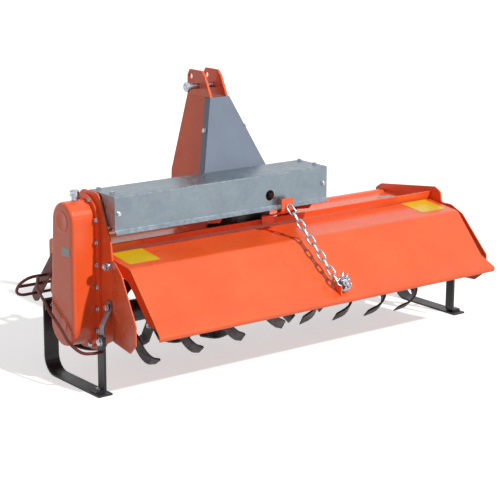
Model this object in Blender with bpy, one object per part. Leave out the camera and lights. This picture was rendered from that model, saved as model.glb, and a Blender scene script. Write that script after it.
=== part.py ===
"""Three-point rotary tiller: a boxed rotor driven by a side chain case, under a hood with a hinged tailgate.

Metres, +Z up, +Y towards the tractor, +X to the right as seen from behind. The floor under the
skids is z = 0, and the origin is the middle of the machine's outline on that floor.
"""

import math

import bmesh
import bpy
from mathutils import Matrix, Vector

# ---- Driving dimensions -------------------------------------------------------------------
FIT = 0.0003                 # clearance between faces that bear on each other
SIDES = (("left", -1.0), ("right", 1.0))

INNER_HALF = 0.686           # middle of the hood to the inner face of a side plate
SIDE_PLATE = 0.006           # side plate thickness
SIDE_OUTER = INNER_HALF + SIDE_PLATE

DECK_SHEET = 0.004           # hood sheet
DECK_TOP = 0.394             # top of the flat deck
DECK_FRONT = 0.212           # front face of the folded front edge
FRONT_ROLL_TOP = 0.402
FRONT_FOLD_BOTTOM = 0.345
DECK_REAR = -0.040
UPSTAND_TOP = 0.438
UPSTAND_LEAN = 0.012

ROTOR_Y, ROTOR_Z = 0.020, 0.191
BLADE_REACH = 0.186          # rotor axis to blade tip
ROTOR_TUBE_RADIUS = 0.035
ROTOR_STUB_RADIUS = 0.020
ROTOR_TUBE_HALF = INNER_HALF - 0.010
FLANGES_PER_SIDE = 4
FLANGE_GAP = 0.240             # between the two middle flanges
FLANGE_SPREAD = ROTOR_TUBE_HALF - 0.091   # middle of the rotor to the outermost flange
FLANGE_RADIUS = 0.088
FLANGE_THICKNESS = 0.008
BLADES_PER_FLANGE = 4
BLADE_WIDTH = 0.040
BLADE_THICKNESS = 0.007
BLADE_BEND = 0.045           # bend radius between shank and scoop
BLADE_SCOOP = 0.030          # straight end of the scoop past its bend
BLADE_SWEEP = math.radians(24.0)   # the scoop trails behind the shank as the rotor turns
FIRST_BLADE = math.radians(-172.0)
FLANGE_PHASE = math.radians(7.0)   # from each flange to the next one outwards

TAILGATE_HALF = INNER_HALF - 0.011
TAILGATE_SHEET = 0.003
TAILGATE_FLANGE = 0.034
TAILGATE_FLARE = 0.014       # how far the lip runs out past the flanges at each end
HINGE_Y, HINGE_Z = -0.113, 0.388
HINGE_PIN_RADIUS = 0.008
# top surface of the tailgate from the hood to the lip: y, z, bend radius
TAILGATE_FOLDS = (
    (-0.061, 0.410, 0.0),
    (-0.200, 0.393, 0.030),
    (-0.3205, 0.260, 0.060),
    (-0.376, 0.225, 0.010),
    (-0.370, 0.211, 0.0),
)

WING_FOLD_Y = -0.128
WING_SHEET = 0.004
WING_FLARE = 0.19            # run outwards for each metre behind the fold
# outline of a rear side guard: y, z, corner radius
WING_OUTLINE = (
    (WING_FOLD_Y - FIT, 0.406, 0.0),
    (-0.150, 0.404, 0.010),
    (-0.197, 0.378, 0.020),
    (-0.300, 0.250, 0.015),
    (-0.299, 0.189, 0.010),
    (-0.257, 0.154, 0.004),
    (WING_FOLD_Y - FIT, 0.155, 0.0),
)

CASE_TOP_Y, CASE_TOP_Z, CASE_TOP_RADIUS = 0.008, 0.514, 0.060
DRIVE_TUBE_RADIUS = 0.034
CASE_BOTTOM_RADIUS = 0.070
CASE_FLANGE = 0.016          # flange width round the housing
CASE_FLANGE_DEPTH = 0.0094
CASE_OUTER = SIDE_OUTER + 0.088   # middle plane to the outer face of the chain case

HITCH_X = -0.095             # middle of the tower
COVER_LEFT, COVER_RIGHT = 0.0015 - INNER_HALF, HITCH_X + 0.229
COVER_REAR, COVER_FRONT = -0.138, 0.0065
COVER_BOTTOM, COVER_TOP = 0.499, 0.602
COVER_LIP = 0.011
COVER_SHEET = 0.002
COVER_HOLE_X, COVER_HOLE_Z, COVER_HOLE_RADIUS = HITCH_X - 0.006, 0.534, 0.017
SUPPORT_SPREAD, SUPPORT_SHEET = 0.1825, 0.006

TOWER_PLATE = 0.008
TOWER_TOP, TOWER_REAR = 0.896, CASE_TOP_Y + DRIVE_TUBE_RADIUS + 0.006
TOP_PIN_Y, TOP_PIN_Z, TOP_PIN_RADIUS = 0.210, TOWER_TOP - 0.051, 0.0095
SPARE_HOLE_Y, SPARE_HOLE_Z = 0.250, TOWER_TOP - 0.023
# tower side plate: height, half spread to its outer face, rear edge, front edge
TOWER_SECTIONS = (
    (DECK_TOP + FIT, 0.140, TOWER_REAR, 0.168),
    (0.412, 0.140, TOWER_REAR, 0.206),
    (0.500, 0.138, TOWER_REAR, 0.222),
    (0.575, 0.1275, TOWER_REAR, 0.233),
    (TOWER_TOP - 0.082, 0.036, 0.140, 0.269),
    (TOWER_TOP - 0.018, 0.036, 0.172, 0.2685),
    (TOWER_TOP, 0.036, 0.190, 0.256),
)
TOWER_GUARD_SHEET = 0.0025
TOWER_GUARD_FLANGE = 0.025
TOWER_GUARD_LOWER, TOWER_GUARD_UPPER = 3, 4   # rows of TOWER_SECTIONS that the guard spans

GEARBOX_HALF = 0.075
GEARBOX_REAR, GEARBOX_FRONT, GEARBOX_TOP = -0.028, 0.168, 0.566
BEARING_CAP_RADIUS, BEARING_CAP_REACH = 0.045, 0.038   # on the gearbox, across from the drive tube
PTO_Z, PTO_RADIUS, PTO_LENGTH = 0.487, 0.0175, 0.118
PTO_GUARD_RADIUS, PTO_GUARD_LENGTH, PTO_GUARD_WALL = 0.062, 0.128, 0.003

BEAM_HALF = INNER_HALF - 0.086
BEAM_DEPTH, BEAM_BOTTOM, BEAM_TOP, BEAM_WALL = 0.055, 0.330, 0.385, 0.005
LOWER_PIN_SPREAD = 0.3415    # tower middle to the middle of a lower hitch clevis
LOWER_PIN_Y, LOWER_PIN_Z, LOWER_PIN_RADIUS = 0.318, 0.385, 0.011
CLEVIS_GAP, CLEVIS_EAR, CLEVIS_RADIUS = 0.050, 0.010, 0.027

GUARD_BAR_RADIUS = 0.005
GUARD_HALF = SIDE_OUTER + 0.091
GUARD_TOP = (0.253, 0.286)       # y, z of the top bar
GUARD_MIDDLE = (0.280, 0.253)
GUARD_BOTTOM = (0.314, 0.213)
GUARD_CORNER = 0.044
GUARD_ARM_TOP, GUARD_ARM_FOOT = (0.200, 0.349), (0.322, 0.204)
GUARD_ARM_WIDTH, GUARD_ARM_SHEET = 0.040, 0.006

SKID_MIDDLE, SKID_WIDTH, SKID_BAR = SIDE_OUTER + 0.050, 0.050, 0.006
SKID_REAR, SKID_FRONT, SKID_BEND, SKID_TOP = -0.160, 0.150, 0.050, 0.240
POST_Y, POST_WIDTH, POST_BAR, POST_TOP = -0.1225, 0.035, 0.008, 0.178
POST_MIDDLE, POST_FOOT = SIDE_OUTER + 0.0376, 0.030
STRUT_MIDDLE, STRUT_BAR, STRUT_WIDTH = SIDE_OUTER + 0.030, 0.006, 0.024
STRUT_BOTTOM, STRUT_TOP = 0.132, 0.281
BRACKET_BAR, BRACKET_HEIGHT = 0.006, 0.035

# side hoop from the guard's top bar to the skid post: distance out from the side plate, y, z
HOOP_ROUTE = (
    (0.041, GUARD_TOP[0] - 2.0 * GUARD_BAR_RADIUS - 0.0012, 0.2845),
    (0.080, 0.178, 0.268),
    (0.101, 0.098, 0.245),
    (0.104, 0.061, 0.220),
    (0.104, -0.004, 0.181),
    (0.103, -0.047, 0.149),
    (0.094, -0.098, 0.131),
    (0.070, POST_Y, 0.130),
    (POST_MIDDLE + POST_BAR / 2.0 + 0.0005 - SIDE_OUTER, POST_Y, 0.130),
)

CHAIN_RADIUS = 0.006
CHAIN_TOP = (-0.048, -0.1675, 0.499)
HOOK_TOP = 0.268
CHAIN_FOOT = (0.013, -0.346, HOOK_TOP + 0.0058)
CHAIN_SEAT = 0.0052          # middle of the chain's top end to the bracket's face
BRACKET_WIDTH, BRACKET_SHEET, BRACKET_SLOT = 0.048, 0.004, 0.009
HOOK_SHEET, HOOK_FRONT, HOOK_REAR = 0.006, -0.332, -0.362
SURPLUS_RADIUS = 0.013

SEGMENTS = 32

ORANGE, SHADE_RED = (0.900, 0.150, 0.045), (0.220, 0.035, 0.028)
ZINC, STEEL, BLACK, GREY = (0.55, 0.58, 0.60), (0.20, 0.20, 0.21), (0.015, 0.014, 0.018), (0.22, 0.27, 0.32)


# ---- Making shapes ------------------------------------------------------------------------
def paint(name, colour, roughness, metallic):
    """One Principled material."""
    material = bpy.data.materials.new(name)
    material.use_nodes = True
    shader = material.node_tree.nodes["Principled BSDF"]
    shader.inputs["Base Color"].default_value = (*colour, 1.0)
    shader.inputs["Roughness"].default_value = roughness
    shader.inputs["Metallic"].default_value = metallic
    return material


def body_from(name, mesh_data, colour, roughness=0.4, metallic=0.0):
    """An object from a closed bmesh, its faces turned outwards and its round parts shaded smooth."""
    bmesh.ops.recalc_face_normals(mesh_data, faces=mesh_data.faces)
    mesh = bpy.data.meshes.new(name)
    mesh_data.to_mesh(mesh)
    mesh_data.free()
    mesh.shade_smooth()
    mesh.set_sharp_from_angle(angle=math.radians(35.0))
    mesh.materials.append(paint(name, colour, roughness, metallic))
    body = bpy.data.objects.new(name, mesh)
    bpy.context.scene.collection.objects.link(body)
    return body


def loft(name, rings, colour, closed=False, **finish):
    """A closed body through rings of equally many points; the end rings are filled unless closed."""
    data = bmesh.new()
    rows = [[data.verts.new(point) for point in ring] for ring in rings]
    pairs = list(zip(rows, rows[1:]))
    if closed:
        pairs.append((rows[-1], rows[0]))
    for row, following in pairs:
        for index in range(len(row)):
            after = (index + 1) % len(row)
            data.faces.new((row[index], row[after], following[after], following[index]))
    if not closed:
        data.faces.new(rows[0])
        data.faces.new(rows[-1])
    return body_from(name, data, colour, **finish)


def plate(name, outline, span, colour, place, **finish):
    """A flat outline (u, v) given thickness from span[0] to span[1] by place(u, v, w)."""
    rings = [[place(u, v, w) for u, v in outline] for w in span]
    return loft(name, rings, colour, **finish)


def across(y, z, x):
    """Places a side view outline (y, z) at x."""
    return (x, y, z)


def turned(name, profile, place, colour, segments=SEGMENTS, **finish):
    """A body turned from a closed profile (along, radius); place(along, a, b) sets its axis."""
    data = bmesh.new()
    columns = []
    for along, radius in profile:
        if radius < 1e-6:
            columns.append([data.verts.new(place(along, 0.0, 0.0))] * segments)
            continue
        ring = []
        for step in range(segments):
            angle = 2.0 * math.pi * step / segments
            ring.append(data.verts.new(place(along, radius * math.cos(angle), radius * math.sin(angle))))
        columns.append(ring)
    for column, following in zip(columns, columns[1:] + columns[:1]):
        for step in range(segments):
            after = (step + 1) % segments
            corners = []
            for vertex in (column[step], column[after], following[after], following[step]):
                if vertex not in corners:
                    corners.append(vertex)
            if len(corners) > 2:
                data.faces.new(corners)
    return body_from(name, data, colour, **finish)


def along_x(y, z):
    """Placing for a body turned about an axis along X through (y, z)."""
    return lambda along, a, b: (along, y + a, z + b)


def along_y(x, z):
    """Placing for a body turned about an axis along Y through (x, z)."""
    return lambda along, a, b: (x + a, along, z + b)


def along_z(x, y):
    """Placing for a body turned about an axis along Z through (x, y)."""
    return lambda along, a, b: (x + a, y + b, along)


def bored(outer, inner, start, end):
    """Profile of a plain bush."""
    return ((start, outer), (end, outer), (end, inner), (start, inner))


def rod(radius, start, end, chamfer=0.001):
    """Profile of a plain rod with chamfered ends."""
    return ((start, 0.0), (start, radius - chamfer), (start + chamfer, radius),
            (end - chamfer, radius), (end, radius - chamfer), (end, 0.0))


def rounded(corners, steps=6):
    """Points of an outline or path whose corners (u, v, radius) are rounded; ends stay where they are."""
    points = []
    last = len(corners) - 1
    closed = len(corners[0]) > 3
    for index, corner in enumerate(corners):
        here, radius = Vector(corner[:2]), corner[2]
        if radius == 0.0 or (not closed and index in (0, last)):
            points.append(tuple(here))
            continue
        before = (Vector(corners[index - 1][:2]) - here).normalized()
        after = (Vector(corners[(index + 1) % len(corners)][:2]) - here).normalized()
        half = before.angle(after) / 2.0
        centre = here + (before + after).normalized() * (radius / math.sin(half))
        first, second = here + before * (radius / math.tan(half)), here + after * (radius / math.tan(half))
        for step in range(steps + 1):
            blend = first.lerp(second, step / steps) - centre
            points.append(tuple(centre + blend.normalized() * radius))
    return points


def rounded_loop(corners, steps=6):
    """Points of a closed outline whose corners (u, v, radius) are rounded."""
    return rounded([(*corner, "closed") for corner in corners], steps)


def ribbon(path, below):
    """Outline of a folded sheet: the path, then the path set off to its right by the thickness."""
    points = [Vector(point) for point in path]
    offset = []
    for index, point in enumerate(points):
        before = (point - points[index - 1]).normalized() if index else None
        after = (points[index + 1] - point).normalized() if index + 1 < len(points) else None
        normals = [Vector((run.y, -run.x)) for run in (before, after) if run]
        normal = sum(normals, Vector((0.0, 0.0))).normalized()
        offset.append(point + normal * (below / normal.dot(normals[0])))
    return [tuple(point) for point in points] + [tuple(point) for point in reversed(offset)]


def swept_bar(name, path, radius, colour, closed=False, sides=12, **finish):
    """A round bar along a path of 3-D points."""
    points = [Vector(point) for point in path]
    count = len(points)
    rings = []
    lean = None
    for index, point in enumerate(points):
        ahead = points[(index + 1) % count] if closed or index + 1 < count else point
        behind = points[index - 1] if closed or index else point
        run = (ahead - behind).normalized()
        if lean is None:
            lean = run.orthogonal().normalized()
        lean = (lean - run * lean.dot(run)).normalized()
        side = run.cross(lean)
        rings.append([point + (lean * math.cos(turn) + side * math.sin(turn)) * radius
                      for turn in (2.0 * math.pi * step / sides for step in range(sides))])
    return loft(name, rings, colour, closed=closed, **finish)


def smooth_route(points, steps=5):
    """Points on a smooth curve through the given ones."""
    route = [Vector(point) for point in points]
    padded = [route[0] * 2 - route[1]] + route + [route[-1] * 2 - route[-2]]
    found = []
    for first, start, end, last in zip(padded, padded[1:], padded[2:], padded[3:]):
        for step in range(steps):
            t = step / steps
            found.append(0.5 * ((2 * start) + (end - first) * t
                                + (2 * first - 5 * start + 4 * end - last) * t * t
                                + (3 * start - first - 3 * end + last) * t * t * t))
    return found + [route[-1]]


def boolean(body, other, operation):
    """Joins another body to this one, or cuts it out; the other is kept as a hidden guide."""
    step = body.modifiers.new(f"{operation.lower()} {other.name}", "BOOLEAN")
    step.operation = operation
    step.solver = "EXACT"
    step.object = other
    other.hide_render = True
    other.display_type = "WIRE"


def bore_x(body, name, y, z, radius, start, end):
    """Cuts a round hole along X."""
    cutter = turned(name, rod(radius, start, end, 0.0002), along_x(y, z), STEEL)
    boolean(body, cutter, "DIFFERENCE")


# ---- Hood and side plates -----------------------------------------------------------------
def deck_hood():
    """The fixed hood: folded front edge, flat deck and rear upstand in one sheet."""
    half = INNER_HALF - FIT
    path = rounded((
        (DECK_REAR - UPSTAND_LEAN, UPSTAND_TOP, 0.0),
        (DECK_REAR, DECK_TOP, 0.006),
        (0.176, DECK_TOP, 0.006),
        (0.186, FRONT_ROLL_TOP, 0.006),
        (DECK_FRONT, FRONT_ROLL_TOP, 0.007),
        (DECK_FRONT, FRONT_FOLD_BOTTOM, 0.0),
    ), 4)
    plate("deck_hood", ribbon(path, DECK_SHEET), (-half, half), ORANGE, across)


def front_beam():
    """Rectangular tube along the front of the hood that carries the hitch."""
    rear = DECK_FRONT + FIT
    front = rear + BEAM_DEPTH
    tube = plate("front_beam", rounded_loop((
        (rear, BEAM_BOTTOM, 0.006), (front, BEAM_BOTTOM, 0.006),
        (front, BEAM_TOP, 0.006), (rear, BEAM_TOP, 0.006)), 3),
        (-BEAM_HALF, BEAM_HALF), ORANGE, across)
    hollow = plate("front_beam_bore", (
        (rear + BEAM_WALL, BEAM_BOTTOM + BEAM_WALL), (front - BEAM_WALL, BEAM_BOTTOM + BEAM_WALL),
        (front - BEAM_WALL, BEAM_TOP - BEAM_WALL), (rear + BEAM_WALL, BEAM_TOP - BEAM_WALL)),
        (-BEAM_HALF - 0.01, BEAM_HALF + 0.01), ORANGE, across)
    boolean(tube, hollow, "DIFFERENCE")


def side_plates():
    """The two end plates; the left one runs up behind the chain case."""
    foot = ((0.235, 0.235, 0.020), (0.165, 0.158, 0.030), (0.058, 0.103, 0.050),
            (-0.018, 0.103, 0.050), (WING_FOLD_Y, 0.158, 0.0))
    right_top = ((WING_FOLD_Y, 0.404, 0.0), (-0.105, 0.407, 0.010), (-0.098, 0.441, 0.012),
                 (-0.070, 0.455, 0.012), (0.207, 0.421, 0.012), (0.235, 0.404, 0.010))
    left_top = ((WING_FOLD_Y, 0.413, 0.0), (-0.121, 0.463, 0.020), (-0.093, 0.522, 0.020),
                (-0.058, 0.601, 0.030), (0.032, 0.601, 0.030), (0.110, 0.520, 0.030),
                (0.150, 0.435, 0.030), (0.235, 0.404, 0.010))
    for (side, sign), top in zip(SIDES, (left_top, right_top)):
        body = plate(f"side_plate_{side}", rounded_loop(foot + top, 4),
                     (sign * INNER_HALF, sign * SIDE_OUTER), ORANGE, across)
        reach = (sign * (INNER_HALF - 0.01), sign * (SIDE_OUTER + 0.01))
        bore_x(body, f"rotor_bore_{side}", ROTOR_Y, ROTOR_Z, ROTOR_STUB_RADIUS + FIT, min(reach), max(reach))
        bore_x(body, f"hinge_bore_{side}", HINGE_Y, HINGE_Z, HINGE_PIN_RADIUS + FIT, min(reach), max(reach))


def wings():
    """Flared side guards behind the side plates."""
    for side, sign in SIDES:
        plate(f"wing_{side}", rounded_loop(WING_OUTLINE, 4), (0.0, WING_SHEET), ORANGE,
              lambda y, z, w, sign=sign: (sign * (INNER_HALF + 0.001 + w + WING_FLARE * (WING_FOLD_Y - y)), y, z))


def oval(offset, steps=14):
    """Outline (y, z) of the chain case's tapered oval, set out by the offset."""
    rise = Vector((ROTOR_Y - CASE_TOP_Y, ROTOR_Z - CASE_TOP_Z))
    lean = math.atan2(rise.y, rise.x)
    spread = math.acos((CASE_TOP_RADIUS - CASE_BOTTOM_RADIUS) / rise.length)
    points = []
    for y, z, radius, first, last in (
            (CASE_TOP_Y, CASE_TOP_Z, CASE_TOP_RADIUS + offset, lean + spread, lean + 2 * math.pi - spread),
            (ROTOR_Y, ROTOR_Z, CASE_BOTTOM_RADIUS + offset, lean - spread, lean + spread)):
        for step in range(steps + 1):
            angle = first + (last - first) * step / steps
            points.append((y + radius * math.cos(angle), z + radius * math.sin(angle)))
    return points


def chain_case():
    """Pressed chain case on its flange, outside the left plate, with its filler cap."""
    back = SIDE_OUTER + FIT
    front = back + CASE_FLANGE_DEPTH
    plate("chain_case_flange", oval(CASE_FLANGE), (-back, -front), ORANGE, across)
    # distance from the middle plane, offset of the outline
    stations = ((front + FIT, 0.0), (CASE_OUTER - 0.010, -0.001), (CASE_OUTER - 0.0045, -0.003),
                (CASE_OUTER - 0.001, -0.0075), (CASE_OUTER, -0.013))
    loft("chain_case", [[(-out, y, z) for y, z in oval(offset)] for out, offset in stations], ORANGE)
    top = CASE_TOP_Z + CASE_TOP_RADIUS
    turned("filler_cap", ((top + FIT, 0.0), (top + FIT, 0.010), (top + 0.014, 0.010), (top + 0.014, 0.015),
                          (top + 0.028, 0.015), (top + 0.031, 0.012), (top + 0.031, 0.0)),
           along_z(-SIDE_OUTER - 0.041, CASE_TOP_Y), ZINC, segments=20, roughness=0.35, metallic=0.8)


def rotor_bearing():
    """Bearing housing of the rotor's free end, outside the right plate."""
    back = SIDE_OUTER + FIT
    turned("rotor_bearing_right", (
        (back, ROTOR_STUB_RADIUS + FIT), (back, 0.056), (back + 0.008, 0.056), (back + 0.010, 0.040),
        (back + 0.026, 0.037), (back + 0.030, 0.030), (back + 0.030, 0.0), (back + 0.0143, 0.0),
        (back + 0.0143, ROTOR_STUB_RADIUS + FIT)), along_x(ROTOR_Y, ROTOR_Z), BLACK)


# ---- Rotor --------------------------------------------------------------------------------
def rotor_tube():
    """Rotor tube with a stub shaft in each side plate."""
    left_end, right_end = -SIDE_OUTER + 0.0005, SIDE_OUTER + 0.014
    turned("rotor_tube", (
        (left_end, 0.0), (left_end, ROTOR_STUB_RADIUS), (-ROTOR_TUBE_HALF, ROTOR_STUB_RADIUS),
        (-ROTOR_TUBE_HALF, ROTOR_TUBE_RADIUS), (ROTOR_TUBE_HALF, ROTOR_TUBE_RADIUS),
        (ROTOR_TUBE_HALF, ROTOR_STUB_RADIUS), (right_end, ROTOR_STUB_RADIUS), (right_end, 0.0)),
        along_x(0.0, 0.0), BLACK, roughness=0.5, metallic=0.3).location = (0.0, ROTOR_Y, ROTOR_Z)


def blade(name, x, sign, angle):
    """One curved blade: a radial shank bolted to the flange, bent over into a scoop along the rotor."""
    tip = math.sqrt(BLADE_REACH ** 2 - (BLADE_WIDTH / 2.0) ** 2) - BLADE_THICKNESS / 2.0 - 0.0005
    foot = 0.048
    offset = (FLANGE_THICKNESS + BLADE_THICKNESS) / 2.0 - 0.0008
    straight = tip - BLADE_BEND
    # radius, distance out along the rotor, lean of the strip, sweep share, width share
    stations = [(foot, 0.0, 0.0, 0.0, 0.75), (foot + 0.012, 0.0, 0.0, 0.0, 1.0), (straight, 0.0, 0.0, 0.18, 1.0)]
    bends = 6
    for step in range(1, bends + 1):
        turn = math.pi / 2.0 * step / bends
        stations.append((straight + BLADE_BEND * math.sin(turn), BLADE_BEND * (1.0 - math.cos(turn)), turn,
                         0.18 + 0.62 * step / bends, 1.0))
    stations.append((tip, BLADE_BEND + BLADE_SCOOP, math.pi / 2.0, 1.0, 0.9))
    rings = []
    for radius, out, turn, share, width in stations:
        swept = angle + BLADE_SWEEP * share
        radial = Vector((0.0, math.cos(swept), math.sin(swept)))
        tangent = Vector((0.0, -math.sin(swept), math.cos(swept)))
        outward = Vector((sign, 0.0, 0.0))
        centre = radial * radius + outward * (offset + out) + Vector((x, 0.0, 0.0))
        thick = (radial * math.sin(turn) - outward * math.cos(turn)) * (BLADE_THICKNESS / 2.0)
        wide = tangent * (BLADE_WIDTH / 2.0 * width)
        edge = 0.55 if radius > straight else 1.0
        rings.append([centre - wide - thick, centre + wide - thick * edge, centre + wide + thick * edge,
                      centre - wide + thick])
    return loft(name, rings, STEEL)


def rotor_flanges():
    """Flanges round the rotor tube, a mirrored spiral each side, with blades bent in and out in turn."""
    pitch = (FLANGE_SPREAD - FLANGE_GAP / 2.0) / (FLANGES_PER_SIDE - 1)
    for number in range(2 * FLANGES_PER_SIDE):
        side = -1.0 if number < FLANGES_PER_SIDE else 1.0
        step = FLANGES_PER_SIDE - 1 - number if side < 0.0 else number - FLANGES_PER_SIDE
        x = side * (FLANGE_GAP / 2.0 + pitch * step)
        body = turned(f"rotor_blades_{number + 1}", bored(
            FLANGE_RADIUS, ROTOR_TUBE_RADIUS + FIT, x - FLANGE_THICKNESS / 2.0, x + FLANGE_THICKNESS / 2.0),
            along_x(0.0, 0.0), STEEL, roughness=0.45, metallic=0.6)
        body.location = (0.0, ROTOR_Y, ROTOR_Z)
        for index in range(BLADES_PER_FLANGE):
            sign = side if index % 2 else -side
            angle = 2.0 * math.pi * index / BLADES_PER_FLANGE + FIRST_BLADE + FLANGE_PHASE * step
            other = blade(f"blade_{number + 1}_{index + 1}", x, sign, angle)
            other.location = body.location
            boolean(body, other, "UNION")


# ---- Tailgate -----------------------------------------------------------------------------
def tailgate():
    """Hinged rear panel with its side flanges, pins, chain hook and surplus chain."""
    path = rounded(TAILGATE_FOLDS, 6)
    lip = TAILGATE_FOLDS[3][0]
    start = TAILGATE_FOLDS[2][0]

    def half(y):
        share = min(1.0, max(0.0, (start - y) / (start - lip)))
        return TAILGATE_HALF + TAILGATE_FLARE * share

    outline = ribbon(list(reversed(path)), TAILGATE_SHEET)
    rings = [[(sign * half(y), y, z) for y, z in outline] for sign in (-1.0, 1.0)]
    panel = loft("tailgate_panel", rings, ORANGE)
    # lower edge of a flange, front to rear
    under = rounded((
        (TAILGATE_FOLDS[0][0] - 0.006, TAILGATE_FOLDS[0][1] - 0.002, 0.0),
        (HINGE_Y + 0.012, HINGE_Z - 0.017, 0.010),
        (-0.190, TAILGATE_FOLDS[1][1] - TAILGATE_FLANGE - 0.006, 0.020),
        (-0.300, TAILGATE_FOLDS[2][1] - 0.020, 0.040),
        (-0.352, TAILGATE_FOLDS[3][1] + 0.0135, 0.0)), 4)
    over = [(y, z - TAILGATE_SHEET / 2.0) for y, z in path if -0.350 < y < TAILGATE_FOLDS[0][0] - 0.004]
    for side, sign in SIDES:
        span = (sign * (TAILGATE_HALF - TAILGATE_SHEET), sign * TAILGATE_HALF * 0.99995)
        flange = plate(f"tailgate_flange_{side}", under + list(reversed(over)), span, ORANGE, across)
        boolean(panel, flange, "UNION")
        reach = (sign * (TAILGATE_HALF - 0.02), sign * (TAILGATE_HALF + 0.005))
        bore_x(panel, f"pivot_bore_{side}", HINGE_Y, HINGE_Z, HINGE_PIN_RADIUS + FIT, min(reach), max(reach))


def tailgate_pins():
    """Hinge bolts through the side plates and the tailgate's flanges."""
    for side, sign in SIDES:
        turned(f"tailgate_pin_{side}", (
            (sign * (SIDE_OUTER + 0.009), 0.0), (sign * (SIDE_OUTER + 0.009), 0.012),
            (sign * (SIDE_OUTER + FIT), 0.013), (sign * (SIDE_OUTER + FIT), HINGE_PIN_RADIUS),
            (sign * (TAILGATE_HALF - 0.012), HINGE_PIN_RADIUS), (sign * (TAILGATE_HALF - 0.012), 0.0)),
            along_x(HINGE_Y, HINGE_Z), ZINC, segments=24, roughness=0.35, metallic=0.9)


def lift_chain():
    """Bracket on the hood, chain to the tailgate, hook and surplus links."""
    x, y, z = CHAIN_TOP
    foot = DECK_REAR - UPSTAND_LEAN - DECK_SHEET - 2.0 * FIT
    seat = y + CHAIN_SEAT + BRACKET_SHEET
    arm = ribbon(rounded((
        (foot, 0.420, 0.0), (foot, 0.450, 0.006), (-0.120, 0.466, 0.015),
        (seat, 0.482, 0.010), (seat, z + 0.022, 0.0)), 3), -BRACKET_SHEET)
    bracket = plate("chain_bracket", arm, (x - BRACKET_WIDTH / 2.0, x + BRACKET_WIDTH / 2.0), ORANGE, across)
    slot = plate("bracket_slot", ((seat - 0.01, 0.486), (y, 0.486), (y, z + 0.03), (seat - 0.01, z + 0.03)),
                 (x - BRACKET_SLOT / 2.0, x + BRACKET_SLOT / 2.0), ORANGE, across)
    boolean(bracket, slot, "DIFFERENCE")
    swept_bar("lift_chain", (CHAIN_TOP, CHAIN_FOOT), CHAIN_RADIUS, ZINC, sides=8, roughness=0.3, metallic=0.9)

    def surface(at):
        (start_y, start_z, _), (end_y, end_z, _) = TAILGATE_FOLDS[2:4]
        return start_z + (end_z - start_z) * (at - start_y) / (end_y - start_y) + FIT + 0.0005

    lug = rounded_loop((
        (HOOK_FRONT, surface(HOOK_FRONT), 0.0), (HOOK_REAR, surface(HOOK_REAR), 0.0),
        (HOOK_REAR, HOOK_TOP, 0.008), (HOOK_FRONT, HOOK_TOP, 0.005)), 4)
    middle = CHAIN_FOOT[0]
    plate("chain_hook", lug, (middle - HOOK_SHEET / 2.0, middle + HOOK_SHEET / 2.0), ORANGE, across)
    beside = middle + HOOK_SHEET / 2.0 + SURPLUS_RADIUS + FIT
    swept_bar("chain_surplus", ((beside, -0.358, 0.256), (beside + 0.004, -0.356, 0.300)), SURPLUS_RADIUS, ZINC,
              sides=10, roughness=0.3, metallic=0.9)


# ---- Drive --------------------------------------------------------------------------------
def drive():
    """Gearbox, drive tube to the chain case, input shaft and its guard."""
    box = plate("gearbox", rounded_loop((
        (HITCH_X - GEARBOX_HALF, DECK_TOP + FIT, 0.010), (HITCH_X + GEARBOX_HALF, DECK_TOP + FIT, 0.010),
        (HITCH_X + GEARBOX_HALF, GEARBOX_TOP, 0.030), (HITCH_X - GEARBOX_HALF, GEARBOX_TOP, 0.030)), 4),
        (GEARBOX_REAR, GEARBOX_FRONT), BLACK, lambda u, v, w: (u, w, v))
    side = HITCH_X + GEARBOX_HALF
    boolean(box, turned("gearbox_bearing_cap", rod(
        BEARING_CAP_RADIUS, side - 0.004, side + BEARING_CAP_REACH, 0.003),
        along_x(CASE_TOP_Y, CASE_TOP_Z), BLACK), "UNION")
    turned("drive_tube", rod(DRIVE_TUBE_RADIUS, -INNER_HALF + FIT, HITCH_X - GEARBOX_HALF - FIT),
           along_x(CASE_TOP_Y, CASE_TOP_Z), BLACK)
    front = GEARBOX_FRONT + FIT
    turned("pto_shaft", rod(PTO_RADIUS, 0.0, PTO_LENGTH, 0.003), along_y(0.0, 0.0), ZINC, segments=24,
           roughness=0.3, metallic=0.9).location = (HITCH_X, front, PTO_Z)
    turned("pto_guard", (
        (front, PTO_GUARD_RADIUS), (front + PTO_GUARD_LENGTH, PTO_GUARD_RADIUS * 1.12),
        (front + PTO_GUARD_LENGTH, PTO_GUARD_RADIUS * 1.12 - PTO_GUARD_WALL),
        (front, PTO_GUARD_RADIUS - PTO_GUARD_WALL)), along_y(HITCH_X, PTO_Z), BLACK)


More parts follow.
